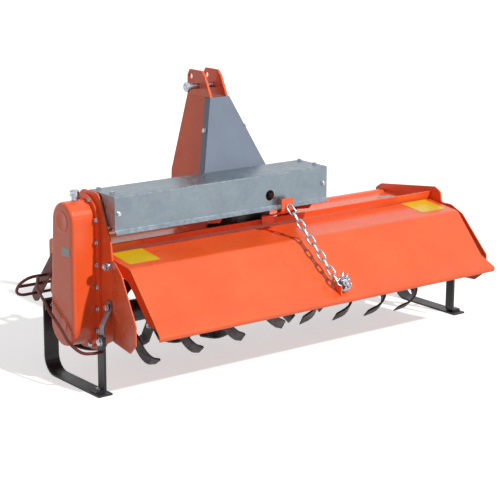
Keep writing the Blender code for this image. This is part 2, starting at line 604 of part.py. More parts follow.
def shaft_cover():
    """Galvanised cover over the drive tube, with end plates and two supports."""
    path = rounded((
        (COVER_REAR - COVER_LIP, COVER_BOTTOM - COVER_LIP, 0.0), (COVER_REAR, COVER_BOTTOM, 0.003),
        (COVER_REAR, COVER_TOP, 0.004), (COVER_FRONT, COVER_TOP, 0.004), (COVER_FRONT, COVER_TOP - 0.014, 0.0)), 3)
    cover = plate("shaft_cover", ribbon(path, COVER_SHEET), (COVER_LEFT, COVER_RIGHT), ZINC, across,
                  roughness=0.35, metallic=0.8)
    hole = turned("cover_hole", rod(COVER_HOLE_RADIUS, COVER_REAR - 0.01, COVER_REAR + 0.01, 0.0002),
                  along_y(COVER_HOLE_X, COVER_HOLE_Z), ZINC)
    boolean(cover, hole, "DIFFERENCE")
    inset = COVER_SHEET + FIT
    # the drive tube passes below and ahead of this corner of each end plate
    notch, above = CASE_TOP_Y - DRIVE_TUBE_RADIUS - 0.004, CASE_TOP_Z + DRIVE_TUBE_RADIUS + 0.012
    ends = (("left", COVER_LEFT + 0.0005), ("right", COVER_RIGHT - 0.0025))
    for side, x in ends:
        plate(f"shaft_cover_end_{side}", rounded_loop((
            (COVER_REAR + inset, COVER_BOTTOM + 0.006, 0.0), (notch, COVER_BOTTOM + 0.006, 0.0),
            (notch, above, 0.0), (COVER_FRONT - inset, above + 0.015, 0.0), (COVER_FRONT - inset, COVER_TOP - inset, 0.004),
            (COVER_REAR + inset, COVER_TOP - inset, 0.004)), 3),
            (x, x + COVER_SHEET), ZINC, across, roughness=0.35, metallic=0.8)
    rear, top = COVER_REAR + inset, COVER_TOP - inset
    support = ((DECK_REAR + 0.008, DECK_TOP + FIT, 0.0), (DECK_REAR + 0.002, 0.448, 0.006), (-0.105, 0.462, 0.010),
               (rear, 0.504, 0.004), (rear, top, 0.004), (COVER_FRONT - inset, top, 0.003),
               (COVER_FRONT - inset, above + 0.016, 0.003), (TOWER_REAR + 0.010, above, 0.015),
               (TOWER_REAR + 0.010, DECK_TOP + FIT, 0.0))
    for side, sign in SIDES:
        x = HITCH_X + sign * SUPPORT_SPREAD
        body = plate(f"cover_support_{side}", rounded_loop(support, 3),
                     (x - SUPPORT_SHEET / 2.0, x + SUPPORT_SHEET / 2.0), ORANGE, across)
        if side == "left":
            bore_x(body, "drive_tube_bore", CASE_TOP_Y, CASE_TOP_Z, DRIVE_TUBE_RADIUS + FIT, x - 0.01, x + 0.01)


# ---- Hitch --------------------------------------------------------------------------------
def tower():
    """Two splayed plates for the top link, their sheet guard and the top pin."""
    for side, sign in SIDES:
        rings = []
        for z, half, rear, front in TOWER_SECTIONS:
            outer, inner = HITCH_X + sign * half, HITCH_X + sign * (half - TOWER_PLATE)
            rings.append([(outer, rear, z), (inner, rear, z), (inner, front, z), (outer, front, z)])
        body = loft(f"tower_plate_{side}", rings, ORANGE)
        reach = (HITCH_X + sign * 0.010, HITCH_X + sign * 0.060)
        bore_x(body, f"top_pin_bore_{side}", TOP_PIN_Y, TOP_PIN_Z, TOP_PIN_RADIUS + FIT, min(reach), max(reach))
        bore_x(body, f"spare_bore_{side}", SPARE_HOLE_Y, SPARE_HOLE_Z, TOP_PIN_RADIUS, min(reach), max(reach))
    left, right = HITCH_X - 0.084, HITCH_X + 0.050
    turned("top_link_pin", (
        (left, 0.0), (left, 0.016), (left + 0.008, 0.016), (left + 0.008, TOP_PIN_RADIUS),
        (right, TOP_PIN_RADIUS), (right, 0.0)), along_x(TOP_PIN_Y, TOP_PIN_Z), ZINC, segments=24,
        roughness=0.35, metallic=0.9)
    rings = []
    for row in (TOWER_GUARD_LOWER, TOWER_GUARD_UPPER):
        z, half, rear, front = TOWER_SECTIONS[row]
        inner, outer = half + FIT, half + FIT + TOWER_GUARD_SHEET
        back = rear - FIT
        rings.append([(HITCH_X + u, v, z) for u, v in (
            (-outer, back + TOWER_GUARD_FLANGE), (-outer, back - TOWER_GUARD_SHEET),
            (outer, back - TOWER_GUARD_SHEET), (outer, back + TOWER_GUARD_FLANGE),
            (inner, back + TOWER_GUARD_FLANGE), (inner, back), (-inner, back), (-inner, back + TOWER_GUARD_FLANGE))])
    loft("tower_guard", rings, GREY, roughness=0.5, metallic=0.4)


def lower_hitch():
    """Clevises for the lower links, welded to the front beam, with their pins."""
    rear = DECK_FRONT + FIT + BEAM_DEPTH + FIT
    ear = ((rear, BEAM_BOTTOM, 0.0), (LOWER_PIN_Y + 0.004, BEAM_BOTTOM, 0.010),
           (LOWER_PIN_Y + CLEVIS_RADIUS, LOWER_PIN_Z - 0.020, 0.012),
           (LOWER_PIN_Y + CLEVIS_RADIUS, LOWER_PIN_Z + CLEVIS_RADIUS, 0.026),
           (LOWER_PIN_Y - CLEVIS_RADIUS, LOWER_PIN_Z + CLEVIS_RADIUS, 0.026), (rear, BEAM_TOP, 0.0))
    for side, sign in SIDES:
        middle = HITCH_X + sign * LOWER_PIN_SPREAD
        inner, outer = CLEVIS_GAP / 2.0, CLEVIS_GAP / 2.0 + CLEVIS_EAR
        body = plate(f"hitch_clevis_{side}", (
            (rear, BEAM_BOTTOM), (rear + 0.008, BEAM_BOTTOM), (rear + 0.008, BEAM_TOP), (rear, BEAM_TOP)),
            (middle - inner - 0.001, middle + inner + 0.001), ORANGE, across)
        for end, way in SIDES:
            other = plate(f"clevis_ear_{side}_{end}", rounded_loop(ear, 5),
                          (middle + way * inner, middle + way * outer), ORANGE, across)
            boolean(body, other, "UNION")
        bore_x(body, f"lower_pin_bore_{side}", LOWER_PIN_Y, LOWER_PIN_Z, LOWER_PIN_RADIUS + FIT,
               middle - outer - 0.01, middle + outer + 0.01)
        head = middle + sign * (outer + FIT)
        turned(f"lower_pin_{side}", (
            (head + sign * 0.007, 0.0), (head + sign * 0.007, 0.017), (head, 0.017), (head, LOWER_PIN_RADIUS),
            (middle - sign * (outer + 0.016), LOWER_PIN_RADIUS), (middle - sign * (outer + 0.016), 0.0)),
            along_x(LOWER_PIN_Y, LOWER_PIN_Z), ZINC, segments=24, roughness=0.35, metallic=0.9)


# ---- Guards and skids ---------------------------------------------------------------------
def front_guard():
    """Ladder of round bars ahead of the rotor on two flat arms."""
    slope = Vector((GUARD_BOTTOM[0] - GUARD_TOP[0], GUARD_BOTTOM[1] - GUARD_TOP[1]))
    ends = rounded_loop(((-GUARD_HALF, 0.0, GUARD_CORNER), (GUARD_HALF, 0.0, GUARD_CORNER),
                         (GUARD_HALF, slope.length, GUARD_CORNER), (-GUARD_HALF, slope.length, GUARD_CORNER)), 6)
    down = slope.normalized()
    loop = [(x, GUARD_TOP[0] + down.x * along, GUARD_TOP[1] + down.y * along) for x, along in ends]
    body = swept_bar("front_guard", loop, GUARD_BAR_RADIUS, SHADE_RED, closed=True, sides=10)
    bar = turned("guard_middle_bar", rod(GUARD_BAR_RADIUS, -GUARD_HALF, GUARD_HALF), along_x(*GUARD_MIDDLE),
                 SHADE_RED, segments=10)
    boolean(body, bar, "UNION")
    run = (Vector(GUARD_ARM_FOOT) - Vector(GUARD_ARM_TOP)).normalized()
    wide = Vector((-run.y, run.x)) * (GUARD_ARM_WIDTH / 2.0)
    first, last = Vector(GUARD_ARM_TOP), Vector(GUARD_ARM_FOOT)
    corners = [(*(first - wide - run * 0.020), 0.018), (*(last - wide + run * 0.020), 0.018),
               (*(last + wide + run * 0.020), 0.018), (*(first + wide - run * 0.020), 0.018)]
    for side, sign in SIDES:
        start = SIDE_OUTER + FIT
        arm = plate(f"guard_arm_{side}", rounded_loop(corners, 4), (sign * start, sign * (start + GUARD_ARM_SHEET)),
                    SHADE_RED, across)
        boolean(body, arm, "UNION")


def side_hoops():
    """Round bars from the front guard round to the skid posts."""
    for side, sign in SIDES:
        route = smooth_route([(sign * (SIDE_OUTER + out), y, z) for out, y, z in HOOP_ROUTE], 4)
        swept_bar(f"side_hoop_{side}", route, GUARD_BAR_RADIUS, SHADE_RED, sides=10)


def skids():
    """Depth skids: runner, rear post, adjusting strut and front bracket on each side."""
    half = SKID_WIDTH / 2.0
    runner = ribbon(rounded((
        (SKID_REAR, SKID_BAR, 0.0), (SKID_FRONT, SKID_BAR, SKID_BEND), (SKID_FRONT, SKID_TOP, 0.0)), 8), SKID_BAR)
    post = ribbon(rounded((
        (POST_MIDDLE - POST_BAR / 2.0, POST_TOP, 0.0),
        (POST_MIDDLE - POST_BAR / 2.0, SKID_BAR + FIT, 0.010),
        (POST_MIDDLE + POST_BAR / 2.0 + POST_FOOT, SKID_BAR + FIT, 0.0)), 4), -POST_BAR)
    strut = ribbon(rounded((
        (SIDE_OUTER + FIT, STRUT_TOP, 0.0), (SIDE_OUTER + FIT, STRUT_TOP - 0.030, 0.015),
        (STRUT_MIDDLE - STRUT_BAR / 2.0, 0.205, 0.030), (STRUT_MIDDLE - STRUT_BAR / 2.0, STRUT_BOTTOM, 0.0)), 4),
        -STRUT_BAR)
    for side, sign in SIDES:
        middle = sign * SKID_MIDDLE
        plate(f"skid_{side}", runner, (middle - half, middle + half), BLACK, across)
        plate(f"skid_post_{side}", post, (POST_Y - POST_WIDTH / 2.0, POST_Y + POST_WIDTH / 2.0), BLACK,
              lambda u, v, w, sign=sign: (sign * u, w, v))
        plate(f"skid_strut_{side}", strut, (-0.127, -0.127 + STRUT_WIDTH), ZINC,
              lambda u, v, w, sign=sign: (sign * u, w, v), roughness=0.4, metallic=0.7)
        back = SKID_FRONT - SKID_BAR - FIT
        reach = (sign * (SIDE_OUTER + FIT), sign * (SKID_MIDDLE + half))
        plate(f"skid_bracket_{side}", (
            (back - BRACKET_BAR, SKID_TOP - BRACKET_HEIGHT), (back, SKID_TOP - BRACKET_HEIGHT),
            (back, SKID_TOP), (back - BRACKET_BAR, SKID_TOP)), reach, ORANGE, across)


def stand_on_origin():
    """Hangs every body from one empty, moved so that the middle of the outline's depth is the origin."""
    bpy.context.view_layer.update()
    graph = bpy.context.evaluated_depsgraph_get()
    bodies = list(bpy.context.scene.objects)
    depths = []
    for body in bodies:
        if not body.hide_render:
            shape = body.evaluated_get(graph)
            depths += [(shape.matrix_world @ vertex.co).y for vertex in shape.data.vertices]
    frame = bpy.data.objects.new("machine_frame", None)
    bpy.context.scene.collection.objects.link(frame)
    for body in bodies:
        body.parent = frame
    frame.location = (0.0, -(min(depths) + max(depths)) / 2.0, 0.0)


def main():
    for old in list(bpy.data.objects):
        bpy.data.objects.remove(old, do_unlink=True)
    for make in (deck_hood, front_beam, side_plates, wings, chain_case, rotor_bearing, rotor_tube, rotor_flanges,
                 tailgate, tailgate_pins, lift_chain, drive, shaft_cover, tower, lower_hitch, front_guard,
                 side_hoops, skids):
        make()
    stand_on_origin()


main()
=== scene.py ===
"""Looks of a three-point rotary tiller: finishes, fasteners, welds, lift chain, labels, light and camera."""
from __future__ import annotations

import logging
import math
from dataclasses import dataclass
from enum import Enum
from typing import Iterable, Sequence

import bmesh
import bpy
from mathutils import Matrix, Vector


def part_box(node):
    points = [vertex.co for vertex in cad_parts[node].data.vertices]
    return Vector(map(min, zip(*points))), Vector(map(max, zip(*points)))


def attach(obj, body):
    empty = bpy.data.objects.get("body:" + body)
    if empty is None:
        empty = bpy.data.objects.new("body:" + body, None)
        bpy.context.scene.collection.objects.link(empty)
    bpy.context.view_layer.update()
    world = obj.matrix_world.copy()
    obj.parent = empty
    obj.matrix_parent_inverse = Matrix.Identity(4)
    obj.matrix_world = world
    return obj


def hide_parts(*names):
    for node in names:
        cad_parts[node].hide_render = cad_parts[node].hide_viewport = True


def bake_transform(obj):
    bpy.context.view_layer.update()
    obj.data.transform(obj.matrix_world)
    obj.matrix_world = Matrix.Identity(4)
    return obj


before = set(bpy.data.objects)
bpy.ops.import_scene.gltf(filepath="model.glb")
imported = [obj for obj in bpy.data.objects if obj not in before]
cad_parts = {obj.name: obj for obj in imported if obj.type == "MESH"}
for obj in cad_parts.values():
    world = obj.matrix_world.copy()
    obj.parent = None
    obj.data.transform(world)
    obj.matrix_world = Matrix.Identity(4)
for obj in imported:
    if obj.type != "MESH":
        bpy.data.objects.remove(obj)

LOG = logging.getLogger("tiller")
SMOOTH_LIMIT = math.radians(38.0)
SIDES = (("left", -1.0), ("right", 1.0))
ROTOR_AXIS_Y = 0.020           # rotor axis in the design frame, whose floor is z = 0
BEAD = 0.0035                  # half width of the larger weld beads
RIPPLE, RIPPLE_LENGTH = 0.10, 0.0055           # how much a bead swells, and how often
FOIL = 0.0006                  # thickness of a blank plate
LIFT = 0.0002                  # gap that keeps a plate clear of the paint under it

Triple = tuple[float, float, float]
ACROSS_X = (Vector((0.0, 1.0, 0.0)), Vector((0.0, 0.0, 1.0)))      # the plane square to the rotor


# ---- Places -------------------------------------------------------------------------------
def design_shift() -> float:
    """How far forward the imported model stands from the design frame, read at the rotor tube."""
    low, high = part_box("rotor_tube")
    return (low.y + high.y) / 2.0 - ROTOR_AXIS_Y


SHIFT_Y = design_shift()


def at(x: float, y: float, z: float) -> Vector:
    """A point of the design frame as a point of the model."""
    return Vector((x, y + SHIFT_Y, z))


class Facing(Enum):
    """The way a fastener or a label looks."""

    LEFT = (-1.0, 0.0, 0.0)
    RIGHT = (1.0, 0.0, 0.0)
    REAR = (0.0, -1.0, 0.0)
    FRONT = (0.0, 1.0, 0.0)
    UP = (0.0, 0.0, 1.0)


def sideways(sign: float) -> Facing:
    """The outward direction of the left or the right side."""
    return Facing.LEFT if sign < 0.0 else Facing.RIGHT


def placed(point: Vector, normal: Sequence[float], turn: float = 0.0) -> Matrix:
    """A frame at a point with its Z axis along a normal.

    Args:
        point: origin of the frame, in the model.
        normal: direction of the frame's Z axis.
        turn: rotation about that axis, in radians.

    Returns:
        The frame as a matrix, with its X axis level wherever the normal allows.
    """
    z_axis = Vector(normal).normalized()
    level = Vector((0.0, 0.0, 1.0)).cross(z_axis)
    x_axis = level.normalized() if level.length > 1e-6 else Vector((1.0, 0.0, 0.0))
    y_axis = z_axis.cross(x_axis)
    axes = Matrix((x_axis, y_axis, z_axis)).transposed().to_4x4()
    return Matrix.Translation(point) @ axes @ Matrix.Rotation(turn, 4, "Z")


# ---- Materials ----------------------------------------------------------------------------
def srgb(code: str) -> tuple[float, float, float, float]:
    """Linear colour of an sRGB hex value such as "#F0663C"."""
    parts = [int(code[i:i + 2], 16) / 255.0 for i in (1, 3, 5)]
    linear = [p / 12.92 if p <= 0.04045 else ((p + 0.055) / 1.055) ** 2.4 for p in parts]
    return (linear[0], linear[1], linear[2], 1.0)


def per_mm(size: float) -> float:
    """Texture scale at which one feature of a pattern measures this many millimetres."""
    return 1000.0 / size


def add_node(tree: bpy.types.NodeTree, kind: str, inputs: dict | None = None, **settings) -> bpy.types.Node:
    """Adds one shader node.

    Args:
        tree: the node tree.
        kind: the node's type name, without its "ShaderNode" start.
        inputs: socket name or number to a value or an output socket.
        settings: attributes of the node.

    Returns:
        The new node.
    """
    node = tree.nodes.new("ShaderNode" + kind)
    for key, value in settings.items():
        setattr(node, key, value)
    for key, value in (inputs or {}).items():
        if isinstance(value, bpy.types.NodeSocket):
            tree.links.new(value, node.inputs[key])
        else:
            node.inputs[key].default_value = value
    return node


@dataclass(frozen=True)
class Surface:
    """What every finish shares: the name, the roughness and how round its edges look."""

    name: str
    roughness: float
    edge_mm: float

    def start(self) -> tuple[bpy.types.Material, bpy.types.NodeTree, bpy.types.Node, bpy.types.NodeSocket]:
        """An empty material with its Principled shader and the object's own coordinates.

        Returns:
            The material, its tree, the shader and the coordinate socket.
        """
        material = bpy.data.materials.new(self.name)
        material.use_nodes = True
        tree = material.node_tree
        shader = tree.nodes["Principled BSDF"]
        coords = add_node(tree, "TexCoord").outputs["Object"]
        return material, tree, shader, coords

    def rounded_normal(self, tree: bpy.types.NodeTree) -> bpy.types.NodeSocket:
        """Normal with the sheet's edges rounded over, as a press brake or a file leaves them."""
        return add_node(tree, "Bevel", {"Radius": self.edge_mm / 1000.0}, samples=4).outputs["Normal"]


def ramp(tree: bpy.types.NodeTree, factor: bpy.types.NodeSocket,
         stops: Sequence[tuple[float, str]]) -> bpy.types.NodeSocket:
    """Colour that runs through stops.

    Args:
        tree: the node tree.
        factor: socket that gives the place along the stops.
        stops: place and sRGB hex value of each stop.

    Returns:
        The colour's socket.
    """
    node = add_node(tree, "ValToRGB", {"Fac": factor})
    while len(node.color_ramp.elements) < len(stops):
        node.color_ramp.elements.new(0.5)
    for element, (place, code) in zip(node.color_ramp.elements, stops):
        element.position, element.color = place, srgb(code)
    return node.outputs["Color"]


def span(tree: bpy.types.NodeTree, value: bpy.types.NodeSocket, low: float, high: float,
         start: float = 0.0, end: float = 1.0) -> bpy.types.NodeSocket:
    """Value carried from one range to another, clamped.

    Args:
        tree: the node tree.
        value: the socket to carry over.
        low: result at the start.
        high: result at the end.
        start: value that gives low.
        end: value that gives high.

    Returns:
        The result's socket.
    """
    return add_node(tree, "MapRange", {"Value": value, "From Min": start, "From Max": end,
                                       "To Min": low, "To Max": high}).outputs["Result"]


@dataclass(frozen=True)
class PowderCoat(Surface):
    """Polyester powder coat baked on pressed sheet: glossy, a fine orange peel, slow waves in the sheet, and
    a painted highlight that turns it paler along its edges and folds.
    """

    light: str = "#FF6A35"
    deep: str = "#F8602C"
    # paler orange of the painted highlight laid along edges and folds
    edge_highlight: str = "#FF8A5C"
    waves_mm: float = 160.0
    peel_mm: float = 4.0       # real peel is nearer 1.5 mm; drawn coarser so that it shows

    def material(self) -> bpy.types.Material:
        """The finish as a material."""
        material, tree, shader, coords = self.start()
        slow = add_node(tree, "TexNoise", {"Vector": coords, "Scale": per_mm(self.waves_mm), "Detail": 3.0})
        fine = add_node(tree, "TexNoise", {"Vector": coords, "Scale": per_mm(self.peel_mm), "Detail": 2.0})
        smudge = add_node(tree, "TexNoise", {"Vector": coords, "Scale": per_mm(38.0), "Detail": 6.0,
                                             "Roughness": 0.65})
        colour = ramp(tree, slow.outputs["Fac"], ((0.30, self.deep), (0.70, self.light)))
        rounded = self.rounded_normal(tree)
        flat = add_node(tree, "NewGeometry").outputs["Normal"]
        # painted highlight: the colour turns paler where the rounded normal departs from the flat one, at
        # edges and folds
        turned = add_node(tree, "VectorMath", {0: rounded, 1: flat}, operation="DOT_PRODUCT").outputs["Value"]
        edge = span(tree, turned, 0.45, 0.0, 0.80, 0.995)
        edge_highlight = add_node(tree, "MixRGB", {"Fac": edge, "Color1": colour, "Color2": srgb(self.edge_highlight)})
        gloss = span(tree, smudge.outputs["Fac"], self.roughness - 0.05, self.roughness + 0.10, 0.35, 0.75)
        wavy = add_node(tree, "Bump", {"Height": slow.outputs["Fac"], "Strength": 0.35, "Distance": 0.006,
                                       "Normal": rounded})
        peel = add_node(tree, "Bump", {"Height": fine.outputs["Fac"], "Strength": 0.10, "Distance": 0.0004,
                                       "Normal": wavy.outputs["Normal"]})
        tree.links.new(edge_highlight.outputs["Color"], shader.inputs["Base Color"])
        tree.links.new(gloss, shader.inputs["Roughness"])
        tree.links.new(peel.outputs["Normal"], shader.inputs["Normal"])
        shader.inputs["Specular IOR Level"].default_value = 0.5
        shader.inputs["Coat Weight"].default_value = 0.10
        shader.inputs["Coat Roughness"].default_value = 0.15
        return material


@dataclass(frozen=True)
class GalvanisedSheet(Surface):
    """Hot-dip galvanised steel sheet: grey metal in crystal spangles, each a little lighter or darker."""

    pale: str = "#8E9BA4"
    dark: str = "#808D98"
    spangle_mm: float = 9.0

    def material(self) -> bpy.types.Material:
        """The finish as a material."""
        material, tree, shader, coords = self.start()
        warp = add_node(tree, "TexNoise", {"Vector": coords, "Scale": per_mm(14.0), "Detail": 3.0})
        bent = add_node(tree, "VectorMath", {0: warp.outputs["Color"], "Scale": 0.006}, operation="SCALE")
        moved = add_node(tree, "VectorMath", {0: coords, 1: bent.outputs["Vector"]}, operation="ADD")
        cells = add_node(tree, "TexVoronoi", {"Vector": moved.outputs["Vector"],
                                              "Scale": per_mm(self.spangle_mm)})
        value = add_node(tree, "SeparateColor", {"Color": cells.outputs["Color"]}).outputs["Red"]
        cloud = add_node(tree, "TexNoise", {"Vector": coords, "Scale": per_mm(90.0), "Detail": 5.0,
                                            "Roughness": 0.6})
        both = add_node(tree, "Math", {0: span(tree, value, -0.12, 0.12), 1: cloud.outputs["Fac"]},
                        operation="ADD").outputs["Value"]
        colour = ramp(tree, both, ((0.28, self.dark), (0.72, self.pale)))
        gloss = span(tree, value, self.roughness - 0.07, self.roughness + 0.10)
        grain = add_node(tree, "Bump", {"Height": both, "Strength": 0.06, "Distance": 0.0006,
                                        "Normal": self.rounded_normal(tree)})
        tree.links.new(colour, shader.inputs["Base Color"])
        tree.links.new(gloss, shader.inputs["Roughness"])
        tree.links.new(grain.outputs["Normal"], shader.inputs["Normal"])
        shader.inputs["Metallic"].default_value = 1.0
        return material


@dataclass(frozen=True)
class PlainMetal(Surface):
    """Bare or plated steel: zinc plate, forged blades and turned shafts, told apart by colour and scale."""

    pale: str = "#C9CED6"
    dark: str = "#878E9C"
    cloud_mm: float = 9.0
    grain_mm: float = 1.6      # scale or plating grain, drawn coarse enough to show
    relief_mm: float = 0.25
    metallic: float = 1.0

    def material(self) -> bpy.types.Material:
        """The finish as a material."""
        material, tree, shader, coords = self.start()
        cloud = add_node(tree, "TexNoise", {"Vector": coords, "Scale": per_mm(self.cloud_mm), "Detail": 6.0,
                                            "Roughness": 0.62})
        grain = add_node(tree, "TexNoise", {"Vector": coords, "Scale": per_mm(self.grain_mm), "Detail": 3.0})
        colour = ramp(tree, cloud.outputs["Fac"], ((0.34, self.dark), (0.66, self.pale)))
        gloss = span(tree, cloud.outputs["Fac"], self.roughness + 0.12, self.roughness - 0.06, 0.3, 0.7)
        bump = add_node(tree, "Bump", {"Height": grain.outputs["Fac"], "Strength": 0.3,
                                       "Distance": self.relief_mm / 1000.0,
                                       "Normal": self.rounded_normal(tree)})
        tree.links.new(colour, shader.inputs["Base Color"])
        tree.links.new(gloss, shader.inputs["Roughness"])
        tree.links.new(bump.outputs["Normal"], shader.inputs["Normal"])
        shader.inputs["Metallic"].default_value = self.metallic
        return material


@dataclass(frozen=True)
class Enamel(Surface):
    """Sprayed or moulded skin over a rough base: black enamel, red primer, printed vinyl, polyethylene."""

    pale: str = "#2B2A30"
    dark: str = "#16151A"
    cloud_mm: float = 30.0
    grain_mm: float = 2.5
    relief_mm: float = 0.2
    coat: float = 0.0

    def material(self) -> bpy.types.Material:
        """The finish as a material."""
        material, tree, shader, coords = self.start()
        cloud = add_node(tree, "TexNoise", {"Vector": coords, "Scale": per_mm(self.cloud_mm), "Detail": 7.0,
                                            "Roughness": 0.6})
        grain = add_node(tree, "TexNoise", {"Vector": coords, "Scale": per_mm(self.grain_mm), "Detail": 2.0})
        colour = ramp(tree, cloud.outputs["Fac"], ((0.32, self.dark), (0.70, self.pale)))
        gloss = span(tree, cloud.outputs["Fac"], self.roughness - 0.05, self.roughness + 0.12, 0.3, 0.7)
        bump = add_node(tree, "Bump", {"Height": grain.outputs["Fac"], "Strength": 0.25,
                                       "Distance": self.relief_mm / 1000.0,
                                       "Normal": self.rounded_normal(tree)})
        tree.links.new(colour, shader.inputs["Base Color"])
        tree.links.new(gloss, shader.inputs["Roughness"])
        tree.links.new(bump.outputs["Normal"], shader.inputs["Normal"])
        shader.inputs["Coat Weight"].default_value = self.coat
        return material


class Finish(Enum):
    """Each real surface of the machine, with the record's slot that it belongs to."""

    # orange powder coat on the hood, the case, the tailgate and the tower: glossy, slightly wavy
    ORANGE = (PowderCoat("orange_powder_coat_on_pressed_steel", 0.30, 1.6), "orange_paint")
    # the same coat laid over a weld bead: lumpy and duller
    WELD = (PowderCoat("orange_powder_coat_on_weld", 0.42, 0.4, waves_mm=30.0), "orange_paint")
    # galvanised sheet of the shaft cover: grey metal with a faint spangle
    GALVANISED = (GalvanisedSheet("hot_dip_galvanised_sheet", 0.36, 1.0), "galvanised")
    # grey paint over galvanised sheet of the tower guard: cooler and flatter than bare zinc
    TOWER_GREY = (Enamel("blue_grey_paint_on_sheet", 0.42, 1.0, pale="#75849A", dark="#6C7B90",
                         cloud_mm=160.0, coat=0.1), "grey_paint")
    # bright zinc plate of bolts, nuts, pins and chain: white-blue metal with dull patches
    ZINC = (PlainMetal("bright_zinc_plated_steel", 0.24, 0.4), "zinc_plate")
    # forged boron-steel blades: dark scale, bluish where it was quenched
    FORGED = (PlainMetal("quenched_forged_blade_steel", 0.46, 0.8, pale="#625D5E", dark="#3E3B40",
                         cloud_mm=34.0, relief_mm=0.15), "forged_steel")
    # turned shaft under an oil film
    SHAFT = (PlainMetal("oiled_turned_shaft_steel", 0.30, 0.4, pale="#A9A8A6", dark="#6F6E70"),
             "forged_steel")
    # black enamel of the skids and their posts: satin, scuffed towards grey
    BLACK = (Enamel("black_enamel_on_flat_bar", 0.38, 0.8), "black_paint")
    # moulded black polyethylene of the input guard
    PLASTIC = (Enamel("moulded_black_polyethylene", 0.50, 0.8, pale="#26272A", dark="#1B1C1E",
                      grain_mm=1.2), "black_paint")
    # dark red primer on the round bars of the front guard
    DARK_RED = (Enamel("dark_red_primer_on_round_bar", 0.45, 0.5, pale="#7A2C22", dark="#551D18"),
                "dark_red_paint")
    # blank printed vinyl: even colour under a clear film
    YELLOW_VINYL = (Enamel("yellow_vinyl_film", 0.34, 0.2, pale="#F0D21E", dark="#E6C515", cloud_mm=60.0,
                           relief_mm=0.05, coat=0.2), None)
    SILVER_VINYL = (Enamel("silver_vinyl_film", 0.38, 0.2, pale="#B9BFC4", dark="#A6ADB3", cloud_mm=40.0,
                           relief_mm=0.05, coat=0.2), None)

    def __init__(self, surface: Surface, slot: str | None) -> None:
        """Keeps the surface and its slot, and makes the material on first use."""
        self.surface, self.slot, self.made = surface, slot, None

    def material(self) -> bpy.types.Material:
        """The material of this finish, made once."""
        if self.made is None:
            self.made = self.surface.material()
        return self.made


def dress(nodes: Iterable[str], finish: Finish) -> None:
    """Gives the named CAD nodes a finish through their material slots."""
    for name in nodes:
        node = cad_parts[name]
        node.data.polygons.foreach_set("use_smooth", [False] * len(node.data.polygons))
        if not node.material_slots:
            node.data.materials.append(finish.material())
        for material_slot in node.material_slots:
            material_slot.material = finish.material()
        LOG.info("dressed %s with %s", name, finish.surface.name)


# ---- Mesh making --------------------------------------------------------------------------
class Shape:
    """A mesh under construction, made of turned, swept and folded forms joined in one piece."""

    def __init__(self, name: str) -> None:
        """Starts an empty mesh with the name of the piece that it becomes."""
        self.name, self.mesh = name, bmesh.new()

    def rings(self, rings: Sequence[Sequence[Vector]], closed: bool = False, caps: bool = True) -> None:
        """Skins a row of rings of equally many points.

        Args:
            rings: the rings, in order.
            closed: whether the last ring joins the first.
            caps: whether the two ends are filled.
        """
        made = [[self.mesh.verts.new(point) for point in ring] for ring in rings]
        pairs = list(zip(made, made[1:])) + ([(made[-1], made[0])] if closed else [])
        for one, other in pairs:
            for index in range(len(one)):
                after = (index + 1) % len(one)
                self.mesh.faces.new((one[index], one[after], other[after], other[index]))
        if caps and not closed:
            self.mesh.faces.new(list(reversed(made[0])))
            self.mesh.faces.new(made[-1])

    def lathe(self, place: Matrix, profile: Sequence[tuple[float, float]], sides: int = 24) -> None:
        """Turned or prismatic form about the Z axis of a frame, from (radius, height) pairs."""
        turns = [2.0 * math.pi * i / sides for i in range(sides)]
        self.rings([[place @ Vector((r * math.cos(t), r * math.sin(t), h)) for t in turns]
                    for r, h in profile])

    def sweep(self, path: Sequence[Vector], radius: float, sides: int = 10, closed: bool = False,
              ripple: float = 0.0, ripple_length: float = 0.004) -> None:
        """Round bar along a path.

        Args:
            path: middle line.
            radius: radius of the bar.
            sides: points round the bar.
            closed: whether the path is a loop.
            ripple: share by which the radius swells and shrinks, as in a weld bead.
            ripple_length: distance between two swellings.
        """
        count = len(path)
        normal, run, rings = None, 0.0, []
        for index, point in enumerate(path):
            before = path[index - 1] if closed or index else point
            after = path[(index + 1) % count] if closed or index < count - 1 else point
            along = (after - before).normalized()
            if normal is None:
                normal = along.orthogonal().normalized()
            normal = (normal - along * normal.dot(along)).normalized()
            side = along.cross(normal)
            if index:
                run += (point - path[index - 1]).length
            swell = radius * (1.0 + ripple * math.sin(2.0 * math.pi * run / ripple_length))
            rings.append([point + (normal * math.cos(t) + side * math.sin(t)) * swell
                          for t in (2.0 * math.pi * i / sides for i in range(sides))])
        self.rings(rings, closed)

    def slab(self, place: Matrix, outline: Sequence[tuple[float, float]], thickness: float) -> None:
        """Flat sheet with the given outline, standing this thick on the XY plane of a frame."""
        self.rings([[place @ Vector((x, y, h)) for x, y in outline] for h in (0.0, thickness)])

    def publish(self, finish: Finish, body: str, sharp: float = SMOOTH_LIMIT) -> bpy.types.Object:
        """Turns the mesh into a piece that rides on a body.

        Args:
            finish: finish of the whole piece.
            body: CAD body that carries it.
            sharp: angle beyond which an edge shows as a crease.

        Returns:
            The new object.
        """
        bmesh.ops.recalc_face_normals(self.mesh, faces=self.mesh.faces)
        for face in self.mesh.faces:
            face.smooth = True
        for edge in self.mesh.edges:
            edge.smooth = len(edge.link_faces) == 2 and edge.calc_face_angle(0.0) < sharp
        data = bpy.data.meshes.new(self.name)
        self.mesh.to_mesh(data)
        self.mesh.free()
        data.materials.append(finish.material())
        piece = bpy.data.objects.new(self.name, data)
        bpy.context.scene.collection.objects.link(piece)
        if body:
            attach(piece, body)
        LOG.info("made %s: %d faces", self.name, len(data.polygons))
        return piece


